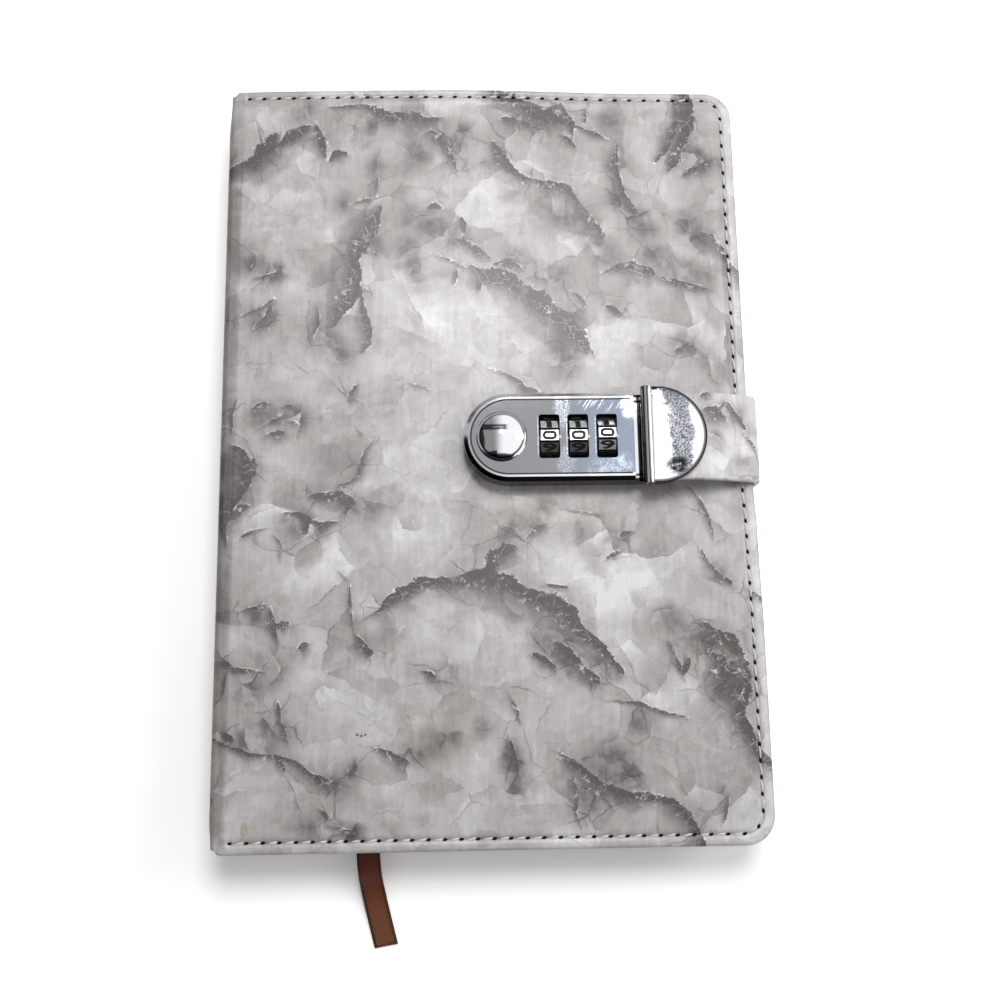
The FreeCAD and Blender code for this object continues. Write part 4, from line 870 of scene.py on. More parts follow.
def uneven(x, y):
    # the soft cover's outline swells a little along the head and the lower fore edge
    headX, headOut = zip(*cover["headSwell"])
    foreY, foreOut = zip(*cover["foreSwell"])
    up = np.interp(x, headX, headOut) * np.clip((y - 40) / 60, 0, 1) ** 2
    out = np.interp(y, foreY, foreOut) * np.clip((x + 10) / 75, 0, 1) ** 2
    r = cover["foldCorner"]
    t = np.clip((cover["foldStart"] + r - x) / r, 0, 1)
    cut = r * (1 - np.sqrt(1 - t ** 2)) * np.clip((np.abs(y) - halfHeight + 6) / 6, 0, 1)
    return x + out, y + up - np.sign(y) * cut


def padding(x, y):
    # soft unevenness of the padded face, in mm
    return 0.05 * np.sin(x * 0.11 + 1.3) * np.sin(y * 0.083 + 0.4) + 0.035 * np.sin(x * 0.23 + y * 0.17)


def roundCorner(mFore, mSide, inset, size):
    # distances inside the two sides, the square rings of a grid turned into rounded corners
    ring = np.minimum(mFore, mSide)
    far = np.maximum(mFore, mSide)
    share = (size - far) / np.maximum(size - ring, 1e-6)
    inCorner = far < size
    lean = np.radians(45) * np.where(inCorner, share, 0)
    near = np.where(inCorner, size - (size - inset) * np.cos(lean), inset)
    far = np.where(inCorner, size - (size - inset) * np.sin(lean), far)
    return np.where(mFore <= mSide, near, far), np.where(mFore <= mSide, far, near)


def openUnderLock(piece):
    # the material is cut away under the lock, where the dials turn
    bm = bmesh.new()
    bm.from_mesh(piece.data)
    inside = []
    for face in bm.faces:
        x, y, z = face.calc_center_median() / mm
        end = max(caseLow.x + caseHalf - x, x - caseHigh.x + caseHalf, 0)
        if z > top - 1 and math.hypot(end, y - lockY) < caseHalf - cover["underLock"]:
            inside.append(face)
    bmesh.ops.delete(bm, geom=inside, context="FACES")
    bm.to_mesh(piece.data)
    bm.free()


def foldOver(piece, z):
    # the piece's place goes into its mesh; the ends of its fold line are worked out but not used
    start = (cover["foldStart"] * mm, 0, z * mm)
    end = (cover["foldEnd"] * mm, 0, z * mm)
    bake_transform(piece)


def makeCover(name, outerZ, down, node):
    cell = cover["cells"][name]
    size = cover["cornerRadius"]
    rim = rimStops()
    us = np.concatenate([
        spread(cover["foldStart"], cover["foldEnd"], 0.13),
        spread(cover["foldEnd"], cover["fineEnd"], 0.3)[1:],
        spread(cover["fineEnd"], fore - size, cell)[1:],
        (fore - rim)[1:],
    ])
    middle = spread(size - halfHeight, halfHeight - size, cell)
    vs = np.concatenate([(rim - halfHeight)[::-1], middle[1:-1], halfHeight - rim])
    bm, u, v = gridPiece(us, vs)
    mFore = fore - u
    mSide = halfHeight - np.abs(v)
    inset, drop = edgeProfile(np.minimum(mFore, mSide))
    foreOff, sideOff = roundCorner(mFore, mSide, inset, size)
    x = fore - foreOff
    y = np.sign(v) * (halfHeight - sideOff)
    spots = np.stack([x, y], 1)
    seam = distanceToSeam(spots)
    holes = distanceToHoles(spots)
    # how much lower the face lies than a flat one
    flatness = np.clip(1 - drop / 0.5, 0, 1) * np.clip((u - cover["foldEnd"]) / 1.5, 0, 1)
    lower = cover["grooveDepth"] * np.exp(-(seam / cover["grooveWidth"]) ** 2)
    lower += cover["holeDepth"] * np.exp(-(holes / cover["holeWidth"]) ** 2)
    lower -= cover["rimBulge"] * np.exp(-((seam - cover["rimPlace"]) / cover["rimWidth"]) ** 2)
    lower += cover["creaseDepth"] * np.exp(-((x - cover["creaseX"]) / cover["creaseWidth"]) ** 2)
    offLock = np.interp(np.abs(y - lockY), cover["flatByLock"], (0, 1))
    lower -= padding(x, y) * offLock * np.clip(seam / 3 - 0.3, 0, 1)
    z = outerZ + down * (drop + lower * flatness)
    # painted highlight on the rounded rim outside the seam, painted shade along the seam, under the edge and
    # beside the fold
    paintedRimLight = np.clip(seam / 0.7, 0, 1) * (np.minimum(mFore, mSide) < 2.9) * np.clip(1 - drop / 0.3, 0, 1)
    paintedRimLight = paintedRimLight * np.where(mFore < mSide, 1.0, np.where(y > 0, 0.4, 0.25))
    paintedShading = paintedRimLight - 0.9 * np.exp(-(seam / 0.32) ** 2) * flatness - 1.1 * np.clip((drop - 0.35) / 0.5, 0, 1)
    paintedShading = paintedShading + foldShade(x - cover["foldEnd"], y)
    setPlaces(bm, *uneven(x, y), np.maximum(z, 0))
    isBack = down > 0
    if isBack:
        bmesh.ops.reverse_faces(bm, faces=bm.faces)
    piece = finishMesh(name, bm)
    markSheet(piece, 2 * uBack - u if isBack else u, v, paintedShading, turned=isBack)
    if not isBack:
        openUnderLock(piece)
    foldOver(piece, outerZ)
    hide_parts(node)


def spineOutline():
    # points down the spine's hollow section from the front fold to the back fold
    r = cover["spineRound"]
    run = cover["foldStart"] + 0.1 - boxOf("spine_skin")[0].x
    rise = top / 2 - r
    big = (run ** 2 + rise ** 2 - r ** 2) / (2 * (run - r))
    turn = math.atan2(rise, big - run)
    shoulder = (r * (math.pi / 2 - turn), r)
    pieces = [(0.1, None), shoulder, (big * turn * 2, big), shoulder, (0.1, None)]
    places = []
    lengths = []
    heading = math.pi
    x, z, gone = cover["foldStart"], top, 0.0
    for length, radius in pieces:
        steps = max(2, int(length / 0.5))
        for _ in range(steps):
            places.append((x, z))
            lengths.append(gone)
            step = length / steps
            bend = 0 if radius is None else step / radius
            heading += bend / 2
            x += math.cos(heading) * step
            z += math.sin(heading) * step
            heading += bend / 2
            gone += step
    places.append((x, z))
    lengths.append(gone)
    return np.array(places), np.array(lengths)


spinePlaces, spineRun = spineOutline()
uBack = cover["foldStart"] - spineRun[-1] / 2     # half way round: the back mirrors the front about this


def makeSpine():
    # the outer material, turned in at head and tail
    turn = cover["spineTurn"]
    side = halfHeight - turn
    around = np.linspace(0, math.pi, 7)
    rim = np.concatenate([side + turn * np.sin(around), side - np.array(cover["spineTurnIn"])])
    drops = np.concatenate([turn - turn * np.cos(around), [2 * turn] * len(cover["spineTurnIn"])])
    flat = spread(-side, side, cover["spineCell"])
    ys = np.concatenate([-rim[:0:-1], flat, rim[1:]])
    ds = np.concatenate([drops[:0:-1], np.zeros(len(flat)), drops[1:]])
    bm, i, j = gridPiece(np.arange(len(spinePlaces)), np.arange(len(ys)))
    heading = unit(np.gradient(spinePlaces, axis=0))
    inward = np.stack([-heading[:, 1], heading[:, 0]], 1)
    y = ys[j]
    place = spinePlaces[i] + inward[i] * ds[j][:, None]
    # it lies flatter towards head and tail
    ends = np.clip((np.abs(y) - halfHeight + np.where(y > 0, 13.0, 9.0)) / np.where(y > 0, 9.0, 7.0), 0, 1)
    level = place[:, 1] / top * 2 - 1
    x = place[:, 0] + (cover["foldStart"] - 0.1 - place[:, 0]) * 0.9 * ends ** 1.5 * (1 - level ** 4)
    x, y = uneven(x, y)
    setPlaces(bm, x, y, place[:, 1])
    piece = finishMesh("spineCover", bm)
    v = np.where(ds[j] > 0, np.sign(y) * (halfHeight + ds[j] * 1.5), y)
    nearFold = np.minimum(spineRun[i], spineRun[-1] - spineRun[i])
    # painted shade on the spine beside both folds
    markSheet(piece, cover["foldStart"] - spineRun[i], v, foldShade(nearFold - 3.0, y))
    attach(piece, "text_block")
    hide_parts("spine_skin")


makeCover("frontCover", top, -1, "front_skin")
makeSpine()
makeCover("backCover", 0.0, 1, "back_skin")
print("covers and spine made")


stitches = {
    "length": 3.75,
    "shortLength": 2.7,       # along head and tail, where half of each thread is pulled in
    "radius": 0.30,
    "dip": 0.38,              # the ends go down into the needle holes
    "slant": 6.0,             # degrees that each thread leans off the seam
    "shortSlant": 10.2,
    "wander": 2.5,            # and this much more or less
    "holeSlant": 15.0,
    "pulledIn": 0.24,         # share of half a stitch that a short thread is shifted
    "holeSize": (1.45, 0.95, 0.28),
    "holeUnder": 0.20,        # below the thread's middle
    "turnedIn": 0.15,         # how deep the threads lie on the covers' inner faces
}


def makeStitches(name, faces, body):
    # threads between the needle holes and a near-black lens in each hole as painted shade, on both faces of a
    # cover
    threads = bmesh.new()
    openings = bmesh.new()
    radius = stitches["radius"] * mm
    holes = np.stack(uneven(seamHoles[:, 0], seamHoles[:, 1]), 1)
    for faceZ, down, depth in faces:
        for k, (a, b) in enumerate(zip(holes, holes[1:])):
            level = abs(b[0] - a[0]) > abs(b[1] - a[1])
            half = (stitches["shortLength"] if level else stitches["length"]) / 2 * mm
            slant = stitches["shortSlant" if level else "slant"] + stitches["wander"] * math.sin(k * 2.4)
            lean = math.atan2(b[1] - a[1], b[0] - a[0]) + math.radians(slant)
            toRight = b if b[0] > a[0] else a
            x, y = (a + b) / 2 + (toRight - (a + b) / 2) * (stitches["pulledIn"] if level else 0)
            spot = Vector((x, y, faceZ + down * depth)) * mm
            place = Matrix.Translation(spot) @ Matrix.Rotation(lean, 4, "Z")
            shape = Matrix.Diagonal((half, radius, radius, 1)) @ Matrix.Rotation(math.pi / 2, 4, "Y")
            shape = place @ shape
            made = bmesh.ops.create_uvsphere(threads, u_segments=8, v_segments=6, radius=1, matrix=shape)
            for vertex in made["verts"]:
                along = (vertex.co - spot).xy.length / half
                vertex.co.z += down * stitches["dip"] * mm * along ** 2
        size = [value / 2 * mm for value in stitches["holeSize"]]
        for k, hole in enumerate(holes):
            a = holes[max(k - 1, 0)]
            b = holes[min(k + 1, len(holes) - 1)]
            lean = math.atan2(b[1] - a[1], b[0] - a[0]) + math.radians(stitches["holeSlant"])
            spot = Vector((hole[0], hole[1], faceZ + down * (depth + stitches["holeUnder"]))) * mm
            place = Matrix.Translation(spot) @ Matrix.Rotation(lean, 4, "Z") @ Matrix.Diagonal((*size, 1))
            bmesh.ops.create_uvsphere(openings, u_segments=8, v_segments=4, radius=1, matrix=place)
    for kind, bm, finish in (("Thread", threads, threadWhite), ("Holes", openings, paintedHoleShade)):
        made = finishMesh(name + kind, bm)
        made.data.materials.append(finish)
        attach(made, body)


def threadFinish():
    cotton = Finish("cotton_thread", Roughness=0.55, Sheen_Weight=0.2)
    where = cotton.place()
    twist = (((where[0] + where[1]) * 2.1).part() - 0.5).size() * 2.0
    return cotton.paint(cotton.mix(twist.ramp(0.0, 0.45), (0.50, 0.48, 0.46), (0.86, 0.85, 0.84)), twist, 0.6)


def holeFinish():
    # near-black: painted shade inside a needle hole
    shade = Finish("needle_hole_shade", Roughness=0.9, Specular_IOR_Level=0.1)
    fleck = shade.noise(shade.place(), 3.0)
    shade.set("Base Color", shade.mix(fleck, (0.004, 0.004, 0.004), (0.016, 0.015, 0.014)))
    return shade.material


threadWhite = threadFinish()
paintedHoleShade = holeFinish()
frontInner = frontLow.z
backInner = boxOf("back_skin")[1].z
sunk = stitches["turnedIn"]
makeStitches("front", [(top, -1, cover["grooveDepth"] - 0.17), (frontInner, 1, sunk)], "front_cover")
makeStitches("back", [(0.0, 1, stitches["radius"] + 0.02), (backInner, -1, sunk)], "back_cover")
print("stitching made")


flapLow, flapHigh = boxOf("strap_flap")
baseLow = boxOf("strap_base")[0]
strap = {
    "thickness": 2.0,
    "tabThickness": 1.2,
    "edgeRadius": 0.5,
    "crestX": 58.3,           # where it turns down behind the catch
    "crestBend": 6.0,
    "cornerRise": 1.2,        # above the front cover
    "cornerBend": 3.4,
    "heelBend": 1.05,
    "foldReach": (-0.6, 2.9),  # heights beside the fold line; a fold line is worked out from them but not used
    "thinZ": (3.3, 5.3),      # it thins to the sewn end between these heights
    "softEdge": 0.10,         # the edges are this much thinner
    "printStretch": 0.96,
    "step": 0.6,
    # painted light over the whole strap
    "paler": 0.45,
    # its own marks, (x, y, half width) in mm as it lies closed
    "veins": [
        [(58.5, 8.5, 1.2), (60.8, 8.1, 1.4), (63.5, 6.4, 1.0)],
        [(57.5, 12.5, 0.8), (59, 13.5, 0.6)],
        [(64.7, 10.5, 0.9), (67.4, 7.1, 0.9), (69.8, 4.0, 0.8)],
        [(69.8, 1.9, 0.35), (72.1, -0.8, 0.4), (73.6, -3.9, 0.4), (75.2, -8.8, 0.35), (79, -12, 0.5)],
        [(63.5, 11.2, 0.25), (62.6, 9.1, 0.25)],
        [(76, 10, 0.6), (80, 7, 1.0), (84, 6, 0.8), (90, 2, 0.7)],
    ],
    "clouds": [
        [(58, 13, 3)], [(61, 7, 5), (68, 8, 4)], [(60.8, 1.2, 3)], [(60.5, -1.5, 2.5)], [(68.6, -5.7, 3)],
        [(72, 4, 4)], [(80, 0, 6)], [(88, -6, 6)],
    ],
    # lighter places; the long group along the strap's middle is painted light
    "lights": [[(63, 1.5, 16), (72, 1.5, 14)], [(84, 10, 5)]],
}


def strapLine():
    # middle line in the x-z plane, from the catch over the fore edge and down to the sewn end
    half = strap["thickness"] / 2
    outer = flapHigh.x - half
    tabZ = baseLow.z + strap["tabThickness"] / 2
    corners = [
        Vector((flapLow.x, flapHigh.z - half)),
        Vector((strap["crestX"], flapHigh.z - half)),
        Vector((outer, top + strap["cornerRise"])),
        Vector((outer, tabZ)),
        Vector((baseLow.x, tabZ)),
    ]
    bends = [strap["crestBend"], strap["cornerBend"], strap["heelBend"]]
    places = [corners[0]]
    for before, corner, after, bend in zip(corners, corners[1:], corners[2:], bends):
        back = (before - corner).normalized()
        ahead = (after - corner).normalized()
        turn = math.pi - back.angle(ahead)
        reach = bend * math.tan(turn / 2)
        centre = corner + (back + ahead).normalized() * bend / math.cos(turn / 2)
        first = corner + back * reach - centre
        last = corner + ahead * reach - centre
        for share in np.linspace(0, 1, 12):
            out = first * math.sin((1 - share) * turn) + last * math.sin(share * turn)
            places.append(centre + out / math.sin(turn))
    places.append(corners[-1])
    return evenly(np.array([tuple(place) for place in places]), strap["step"])


def strapRing():
    # the section's outline: place across, share of the half thickness, corner drop, and distance round
    half = (flapHigh.y - flapLow.y) / 2
    r = strap["edgeRadius"]
    flat = spread(-half + r, half - r, 0.85)
    turn = np.linspace(0, math.pi / 2, 4)[1:]
    topSide = [(y, 0.0) for y in flat] + [(half - r + r * math.sin(a), r - r * math.cos(a)) for a in turn]
    underSide = [(y, drop) for y, drop in topSide[::-1]]
    left = [(-y, drop) for y, drop in topSide[len(flat):]]
    ring = [(y, drop, 1) for y, drop in topSide] + [(y, drop, -1) for y, drop in underSide]
    ring += [(y, drop, -1) for y, drop in left] + [(y, drop, 1) for y, drop in left[::-1]]
    return ring + ring[:1]


def makeStrap():
    line, gone = strapLine()
    ring = strapRing()
    bm, i, j = gridPiece(np.arange(len(ring)), np.arange(len(line)))
    heading = unit(np.gradient(line, axis=0))
    outward = np.stack([-heading[:, 1], heading[:, 0]], 1)
    half = np.interp(line[:, 1], strap["thinZ"], (strap["tabThickness"], strap["thickness"])) / 2
    across, drop, side = np.array(ring).T
    middleY = (flapLow.y + flapHigh.y) / 2
    reach = (flapHigh.y - flapLow.y) / 2
    soft = strap["softEdge"] * np.exp(-((reach - np.abs(across)) / 1.3) ** 2)
    lift = side[i] * (half[j] - (drop + soft)[i])
    spot = line[j] + outward[j] * lift[:, None]
    setPlaces(bm, spot[:, 0], middleY + across[i], spot[:, 1])
    around = runAlong(np.stack([across, side * (1 - drop)], 1))
    u = flapLow.x + gone[j] * strap["printStretch"]
    v = around[i] + middleY - reach + strap["edgeRadius"]
    piece = finishMesh("strapBand", bm)
    # with painted light over the whole strap
    markSheet(piece, u, v, np.full(len(u), strap["paler"]), marks=strap)
    closed = bmesh.new()
    closed.from_mesh(piece.data)
    bmesh.ops.remove_doubles(closed, verts=closed.verts, dist=1e-6)
    bmesh.ops.holes_fill(closed, edges=closed.edges, sides=0)
    bmesh.ops.recalc_face_normals(closed, faces=closed.faces)
    for face in closed.faces:
        face.smooth = True
    closed.to_mesh(piece.data)
    closed.free()
    foldX, foldZ = flapHigh.x + 0.2, flapLow.z - 0.1
    start, end = [(foldX * mm, 0, (foldZ + rise) * mm) for rise in strap["foldReach"]]
    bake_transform(piece)
    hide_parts("strap_flap", "strap_base")


makeStrap()
print("strap made")


lining = {
    "corner": 4.0,
    "thickness": 0.35,
    "proud": 0.05,
    "cell": 5.0,
    "fineEnd": -70.5,         # finer cells between the fold and here
}


def paperFinish(name, colour, lined):
    # uncoated paper with a faint fibre; the pages carry pale writing lines and layered edges
    paper = Finish(name, Roughness=0.85, Specular_IOR_Level=0.3)
    where = paper.place()
    fibre = paper.noise(where, 0.9, 5.0, 0.65)
    cloud = paper.noise(where, 0.03, 3.0)
    darker = tuple(value * 0.88 for value in colour)
    tone = paper.mix(fibre * 0.6 + cloud * 0.4, darker, colour)
    height = fibre
    if lined:
        low, high = boxOf("page_block")
        leaf = paper.noise(where.scaled(0.02, 0.02, 3.2), 1.0, 3.0, 0.7)
        row = ((where[1] / 7.0).part() - 0.5).size().ramp(0.015, 0.03, 1.0, 0.0)
        flat = (where[2] - (low.z + high.z) / 2).size().over((high.z - low.z) / 2 - 0.12)
        field = where[1].size().ramp(94.0, 94.3, 1.0, 0.0) * flat
        tone = paper.mix(leaf.ramp(0.35, 0.6, 0.5, 0.0) * (1 - flat), tone, (0.42, 0.39, 0.34))
        tone = paper.mix(row * field * 0.45, tone, (0.33, 0.36, 0.42))
        height = fibre * 0.4 + leaf * (1 - flat)
    return paper.paint(tone, height, 0.25)


endPaper = paperFinish("end_paper", (0.70, 0.69, 0.67), False)


def makeEndpaper(name, innerZ, into, node):
    # the sheet pasted inside a cover, flat, reaching just past the fold
    high = boxOf(node)[1]
    size = lining["corner"]
    rim = np.linspace(size, 0, 9)
    us = np.concatenate([
        [cover["foldStart"] - 0.4],
        spread(cover["foldStart"], cover["foldEnd"], 0.1),
        spread(cover["foldEnd"], lining["fineEnd"], 0.6)[1:],
        spread(lining["fineEnd"], high.x - size, lining["cell"])[1:],
        (high.x - rim)[1:],
    ])
    inner = spread(size - high.y, high.y - size, lining["cell"])
    vs = np.concatenate([(rim - high.y)[::-1], inner[1:-1], high.y - rim])
    bm, u, v = gridPiece(us, vs)
    mFore = high.x - u
    mSide = high.y - np.abs(v)
    foreOff, sideOff = roundCorner(mFore, mSide, np.minimum(mFore, mSide), size)
    level = innerZ - into * lining["proud"]
    setPlaces(bm, high.x - foreOff, np.sign(v) * (high.y - sideOff), np.full(len(u), level))
    if into > 0:
        bmesh.ops.reverse_faces(bm, faces=bm.faces)
    bmesh.ops.solidify(bm, geom=bm.faces[:], thickness=lining["thickness"] * mm)
    bmesh.ops.recalc_face_normals(bm, faces=bm.faces)
    piece = finishMesh(name, bm, smooth=False)
    piece.data.materials.append(endPaper)
    foldOver(piece, innerZ)
    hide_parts(node)


makeEndpaper("frontEndpaper", frontInner, 1, "front_lining")
makeEndpaper("backEndpaper", backInner, -1, "back_lining")


pages = {
    "corner": 6.0,
    "backCorner": 0.3,
    "leaves": 52,             # ridges at the edges
    "groove": 0.08,
    "unevenness": 0.05,       # of the leaves' edges
    "shy": 0.06,              # kept off the covers' inner faces
}


def makePages():
    low, high = boxOf("page_block")
    low.z += pages["shy"]
    high.z -= pages["shy"]
    bm = bmesh.new()
    bmesh.ops.create_cube(bm, size=1)
    bmesh.ops.scale(bm, vec=(high - low) * mm, verts=bm.verts)
    bmesh.ops.translate(bm, vec=(high + low) / 2 * mm, verts=bm.verts)
    for sign, radius, steps in ((1, pages["corner"], 8), (-1, pages["backCorner"], 2)):
        upright = []
        for edge in bm.edges:
            a, b = [vertex.co for vertex in edge.verts]
            if (a - b).xy.length < 1e-6 and a.x * sign > 0:
                upright.append(edge)
        bmesh.ops.bevel(bm, geom=upright, offset=radius * mm, affect="EDGES", segments=steps,
                        profile=0.5, material=-1)
    count = pages["leaves"] * 2
    for k in range(1, count):
        z = low.z + (high.z - low.z) * k / count
        cut = bm.verts[:] + bm.edges[:] + bm.faces[:]
        bmesh.ops.bisect_plane(bm, geom=cut, plane_co=(0, 0, z * mm), plane_no=(0, 0, 1), dist=1e-7)
    bm.normal_update()
    step = (high.z - low.z) / count
    for vertex in bm.verts:
        k = round((vertex.co.z / mm - low.z) / step)
        if 0 < k < count:
            flat = Vector((vertex.normal.x, vertex.normal.y, 0)).normalized()
            depth = pages["groove"] * (k % 2)
            depth += pages["unevenness"] * (1 + math.sin(k * 1.7 + 0.6 * math.sin(k)))
            vertex.co -= flat * depth * mm
    piece = finishMesh("pageLeaves", bm, smooth=False)
    piece.data.materials.append(paperFinish("page_paper", (0.80, 0.78, 0.73), True))
    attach(piece, "text_block")
    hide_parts("page_block")


makePages()
print("endpapers and pages made")


def chrome(name, roughness=0.1):
    # a plated metal and where it lies, in mm
    metal = Finish(name, Metallic=1.0, Roughness=roughness)
    return metal, metal.place()


def hairlines(metal, where, angle, thin=0.03):
    # fine straight scratches at an angle in degrees
    settings = {"vector_type": "TEXTURE"}
    values = {"Vector": where, "Rotation": (0, 0, math.radians(angle)), "Scale": (1.0, 1 / thin, 1.0)}
    turned = metal.node("ShaderNodeMapping", settings, values)
    return metal.noise(turned, 3.2, 2.0, 0.6)


faceZ = flapHigh.z            # the flat face and the strap's top are level
catchLow, catchHigh = boxOf("catch_plate")
dialMiddles = [(low.x + high.x) / 2 for low, high in (boxOf(f"dial_wheel_{k}") for k in (1, 2, 3))]

lockMetal = {
    "capX": 2.9,              # middle of the button's cap
    "collar": 8.0,            # radius of the ring round the cap
    "windowReach": 3.12,      # from a dial's middle to its window's side
    "seatX": 39.4,            # the flat end beside the catch
    "seatHalf": 11.5,
    "faceGrey": (0.31, 0.315, 0.33),
    "faceBlue": (0.33, 0.375, 0.47),
    "bright": (0.86, 0.87, 0.89),
    "dark": (0.022, 0.022, 0.026),
    # colour of the painted reflections on the face
    "bloom": (0.66, 0.72, 0.84),
}


def caseFinish():
    metal, where = chrome("chrome_case")
    bent = where.shift(metal.swirl(where, 0.6, 3.0, 0.5, 2.4))
    endX = (caseLow.x + caseHalf) - where[0]
    middleY = where[1] - lockY
    inset = caseHalf - (endX.most(0.0) ** 2.0 + middleY * middleY) ** 0.5
    flat = where[2].ramp(faceZ - 0.18, faceZ - 0.08) * where[2].ramp(faceZ + 0.2, faceZ + 0.05)
    face = flat * inset.ramp(1.95, 2.2)
    # painted reflection: the flat face greyer than the rim and bluer towards the catch
    right = where[0].ramp(14.0, 34.0)
    tone = metal.mix(right, lockMetal["faceGrey"], lockMetal["faceBlue"])
    speck = metal.noise(where, 2.6, 4.0, 0.75)
    cloud = metal.noise(where, 0.32, 4.0, 0.6)
    # painted reflections on the face: beside the cap, below the dials, at the catch's end and above the dials
    band = blobs(bent, (19.6, 9.0, 3.0, 7.0), (20.4, -5.5, 3.4, 5.5))
    below = blobs(bent, (34.0, -7.0, 8.0, 5.0), (29.0, -8.5, 5.0, 2.5))
    beside = blobs(bent, (38.2, 9.5, 3.2, 4.4))
    above = blobs(bent, (30.5, 10.4, 7.5, 3.0))
    lines = hairlines(metal, where, -32)
    mist = hairlines(metal, where, -32, 0.12)
    bloom = band * speck.ramp(0.47, 0.62) * 0.6
    bloom = bloom.most(below * (speck + cloud * 0.6).ramp(0.76, 0.90) * 0.7)
    bloom = bloom.most(beside * (cloud + speck * 0.3).ramp(0.45, 0.62))
    bloom = bloom.most(above * lines.ramp(0.56, 0.66) * 0.8)
    bloom = bloom.most(right * mist.ramp(0.56, 0.74) * 0.15)
    tone = metal.mix(bloom, tone, lockMetal["bloom"])
    # painted reflection: the rim darker towards the spine and bright towards the fore edge
    rim = metal.mix(where[0].ramp(-5.0, 10.0), (0.42, 0.42, 0.44), lockMetal["bright"])
    colour = metal.mix(face, rim, tone)
    # the ring round the cap, with painted shade below the cap and a painted highlight to its right
    fromCap = where.shift((lockMetal["capX"], lockY, 0), "SUBTRACT")
    away = (fromCap[0] * fromCap[0] + fromCap[1] * fromCap[1]) ** 0.5
    radius = lockMetal["collar"]
    collar = away.ramp(radius, radius - 0.2) * where[2].ramp(faceZ + 0.04, faceZ + 0.12)
    collarTone = metal.mix(fromCap[1].ramp(-3.0, -5.0), (0.32, 0.32, 0.34), lockMetal["dark"])
    collarTone = metal.mix((fromCap[0] - fromCap[1] * 0.5).ramp(5.6, 6.4), collarTone, (0.95, 0.95, 0.95))
    colour = metal.mix(collar, colour, collarTone)
    # painted shade on the walls, with the flat end beside the catch kept pale, on the rim's lower side and in
    # the groove inside the rim
    wall = where[2].ramp(faceZ - 1.35, faceZ - 1.15, 1.0, 0.0)
    seatX, seatHalf = lockMetal["seatX"], lockMetal["seatHalf"]
    seat = where[0].ramp(seatX - 0.1, seatX + 0.1) * middleY.size().ramp(seatHalf + 0.1, seatHalf - 0.1)
    colour = metal.mix(wall * 0.95, colour, metal.mix(seat, lockMetal["dark"], (0.80, 0.81, 0.84)))
    shaded = inset.ramp(1.25, 0.95) * (middleY - endX.most(0.0) * 0.5).ramp(-4.0, -9.5)
    colour = metal.mix(shaded * 0.93, colour, lockMetal["dark"])
    groove = where[2].ramp(faceZ - 0.12, faceZ - 0.3) * inset.ramp(1.5, 1.65) * inset.ramp(2.35, 2.2)
    colour = metal.mix(groove * 0.9, colour, lockMetal["dark"])
    # painted highlights along the windows' left edges
    windowX = (where[0] - (dialMiddles[0] - lockMetal["windowReach"])) / (dialMiddles[1] - dialMiddles[0])
    edge = (windowX.part() - 0.5).size().ramp(0.482, 0.490)
    edge = edge * windowX.ramp(-0.1, -0.05) * windowX.ramp(2.4, 2.3)
    edge = edge * middleY.size().ramp(5.6, 4.8) * flat * speck.ramp(0.44, 0.50)
    colour = metal.mix(edge, colour, (1.0, 1.0, 1.0))
    metal.set("Roughness", bloom * 0.22 + cloud * 0.03 + 0.035)
    return metal.paint(colour, hairlines(metal, where, -58, 0.02) * 0.5 + cloud * 0.8 + lines * 0.3, 0.06)


def catchFinish():
    metal, where = chrome("chrome_catch")
    bent = where.shift(metal.swirl(where, 0.5, 4.0, 0.6, 3.0))
    radius = (catchHigh.y - catchLow.y) / 2
    fromDisc = (where[0] - (catchHigh.x - radius)).most(0.0)
    middleY = where[1] - lockY
    inset = radius - (fromDisc * fromDisc + middleY * middleY) ** 0.5
    speck = metal.noise(where, 2.4, 5.0, 0.8)
    crescent = blobs(bent, (48.2, 12.0, 4.6, 3.6), (50.6, 8.0, 4.2, 6.0), (51.8, 2.0, 3.8, 7.5),
                     (51.6, -5.0, 3.4, 6.0))
    mottled = (crescent.ramp(0.0, 0.9) * 0.28 + crescent.ramp(0.0, 0.5) * speck.ramp(0.53, 0.49)).least(1.0)
    smudge = blobs(bent, (50.4, -7.2, 3.6, 3.0)) * metal.noise(where, 1.1, 4.0, 0.7).ramp(0.40, 0.48)
    colour = metal.mix(mottled * 0.92, (0.96, 0.965, 0.98), (0.06, 0.075, 0.12))
    colour = metal.mix(smudge, colour, (0.02, 0.02, 0.025))
    # painted shade darkening towards the plate's rim
    colour = metal.mix(inset.ramp(1.05, 0.75), colour, (0.20, 0.20, 0.22))
    colour = metal.mix(inset.ramp(0.55, 0.25), colour, (0.012, 0.012, 0.015))
    # the bead beside the case, painted as reflections: grey, with a bright highlight stripe and a black line
    colour = metal.mix(where[0].ramp(44.1, 43.9) * 0.75, colour, (0.34, 0.34, 0.36))
    beadHighlight = where[0].ramp(41.65, 41.8) * where[0].ramp(42.45, 42.35)
    colour = metal.mix(beadHighlight, colour, (0.95, 0.96, 0.98))
    beadDarkLine = (where[0] - 42.6).size().ramp(0.22, 0.12)
    colour = metal.mix(beadDarkLine * 0.95, colour, (0.015, 0.015, 0.02))
    metal.set("Roughness", mottled * 0.12 + speck * 0.03 + 0.04)
    return metal.paint(colour, metal.noise(where, 0.35, 3.0) + mottled * 0.5, 0.10, 0.0002)


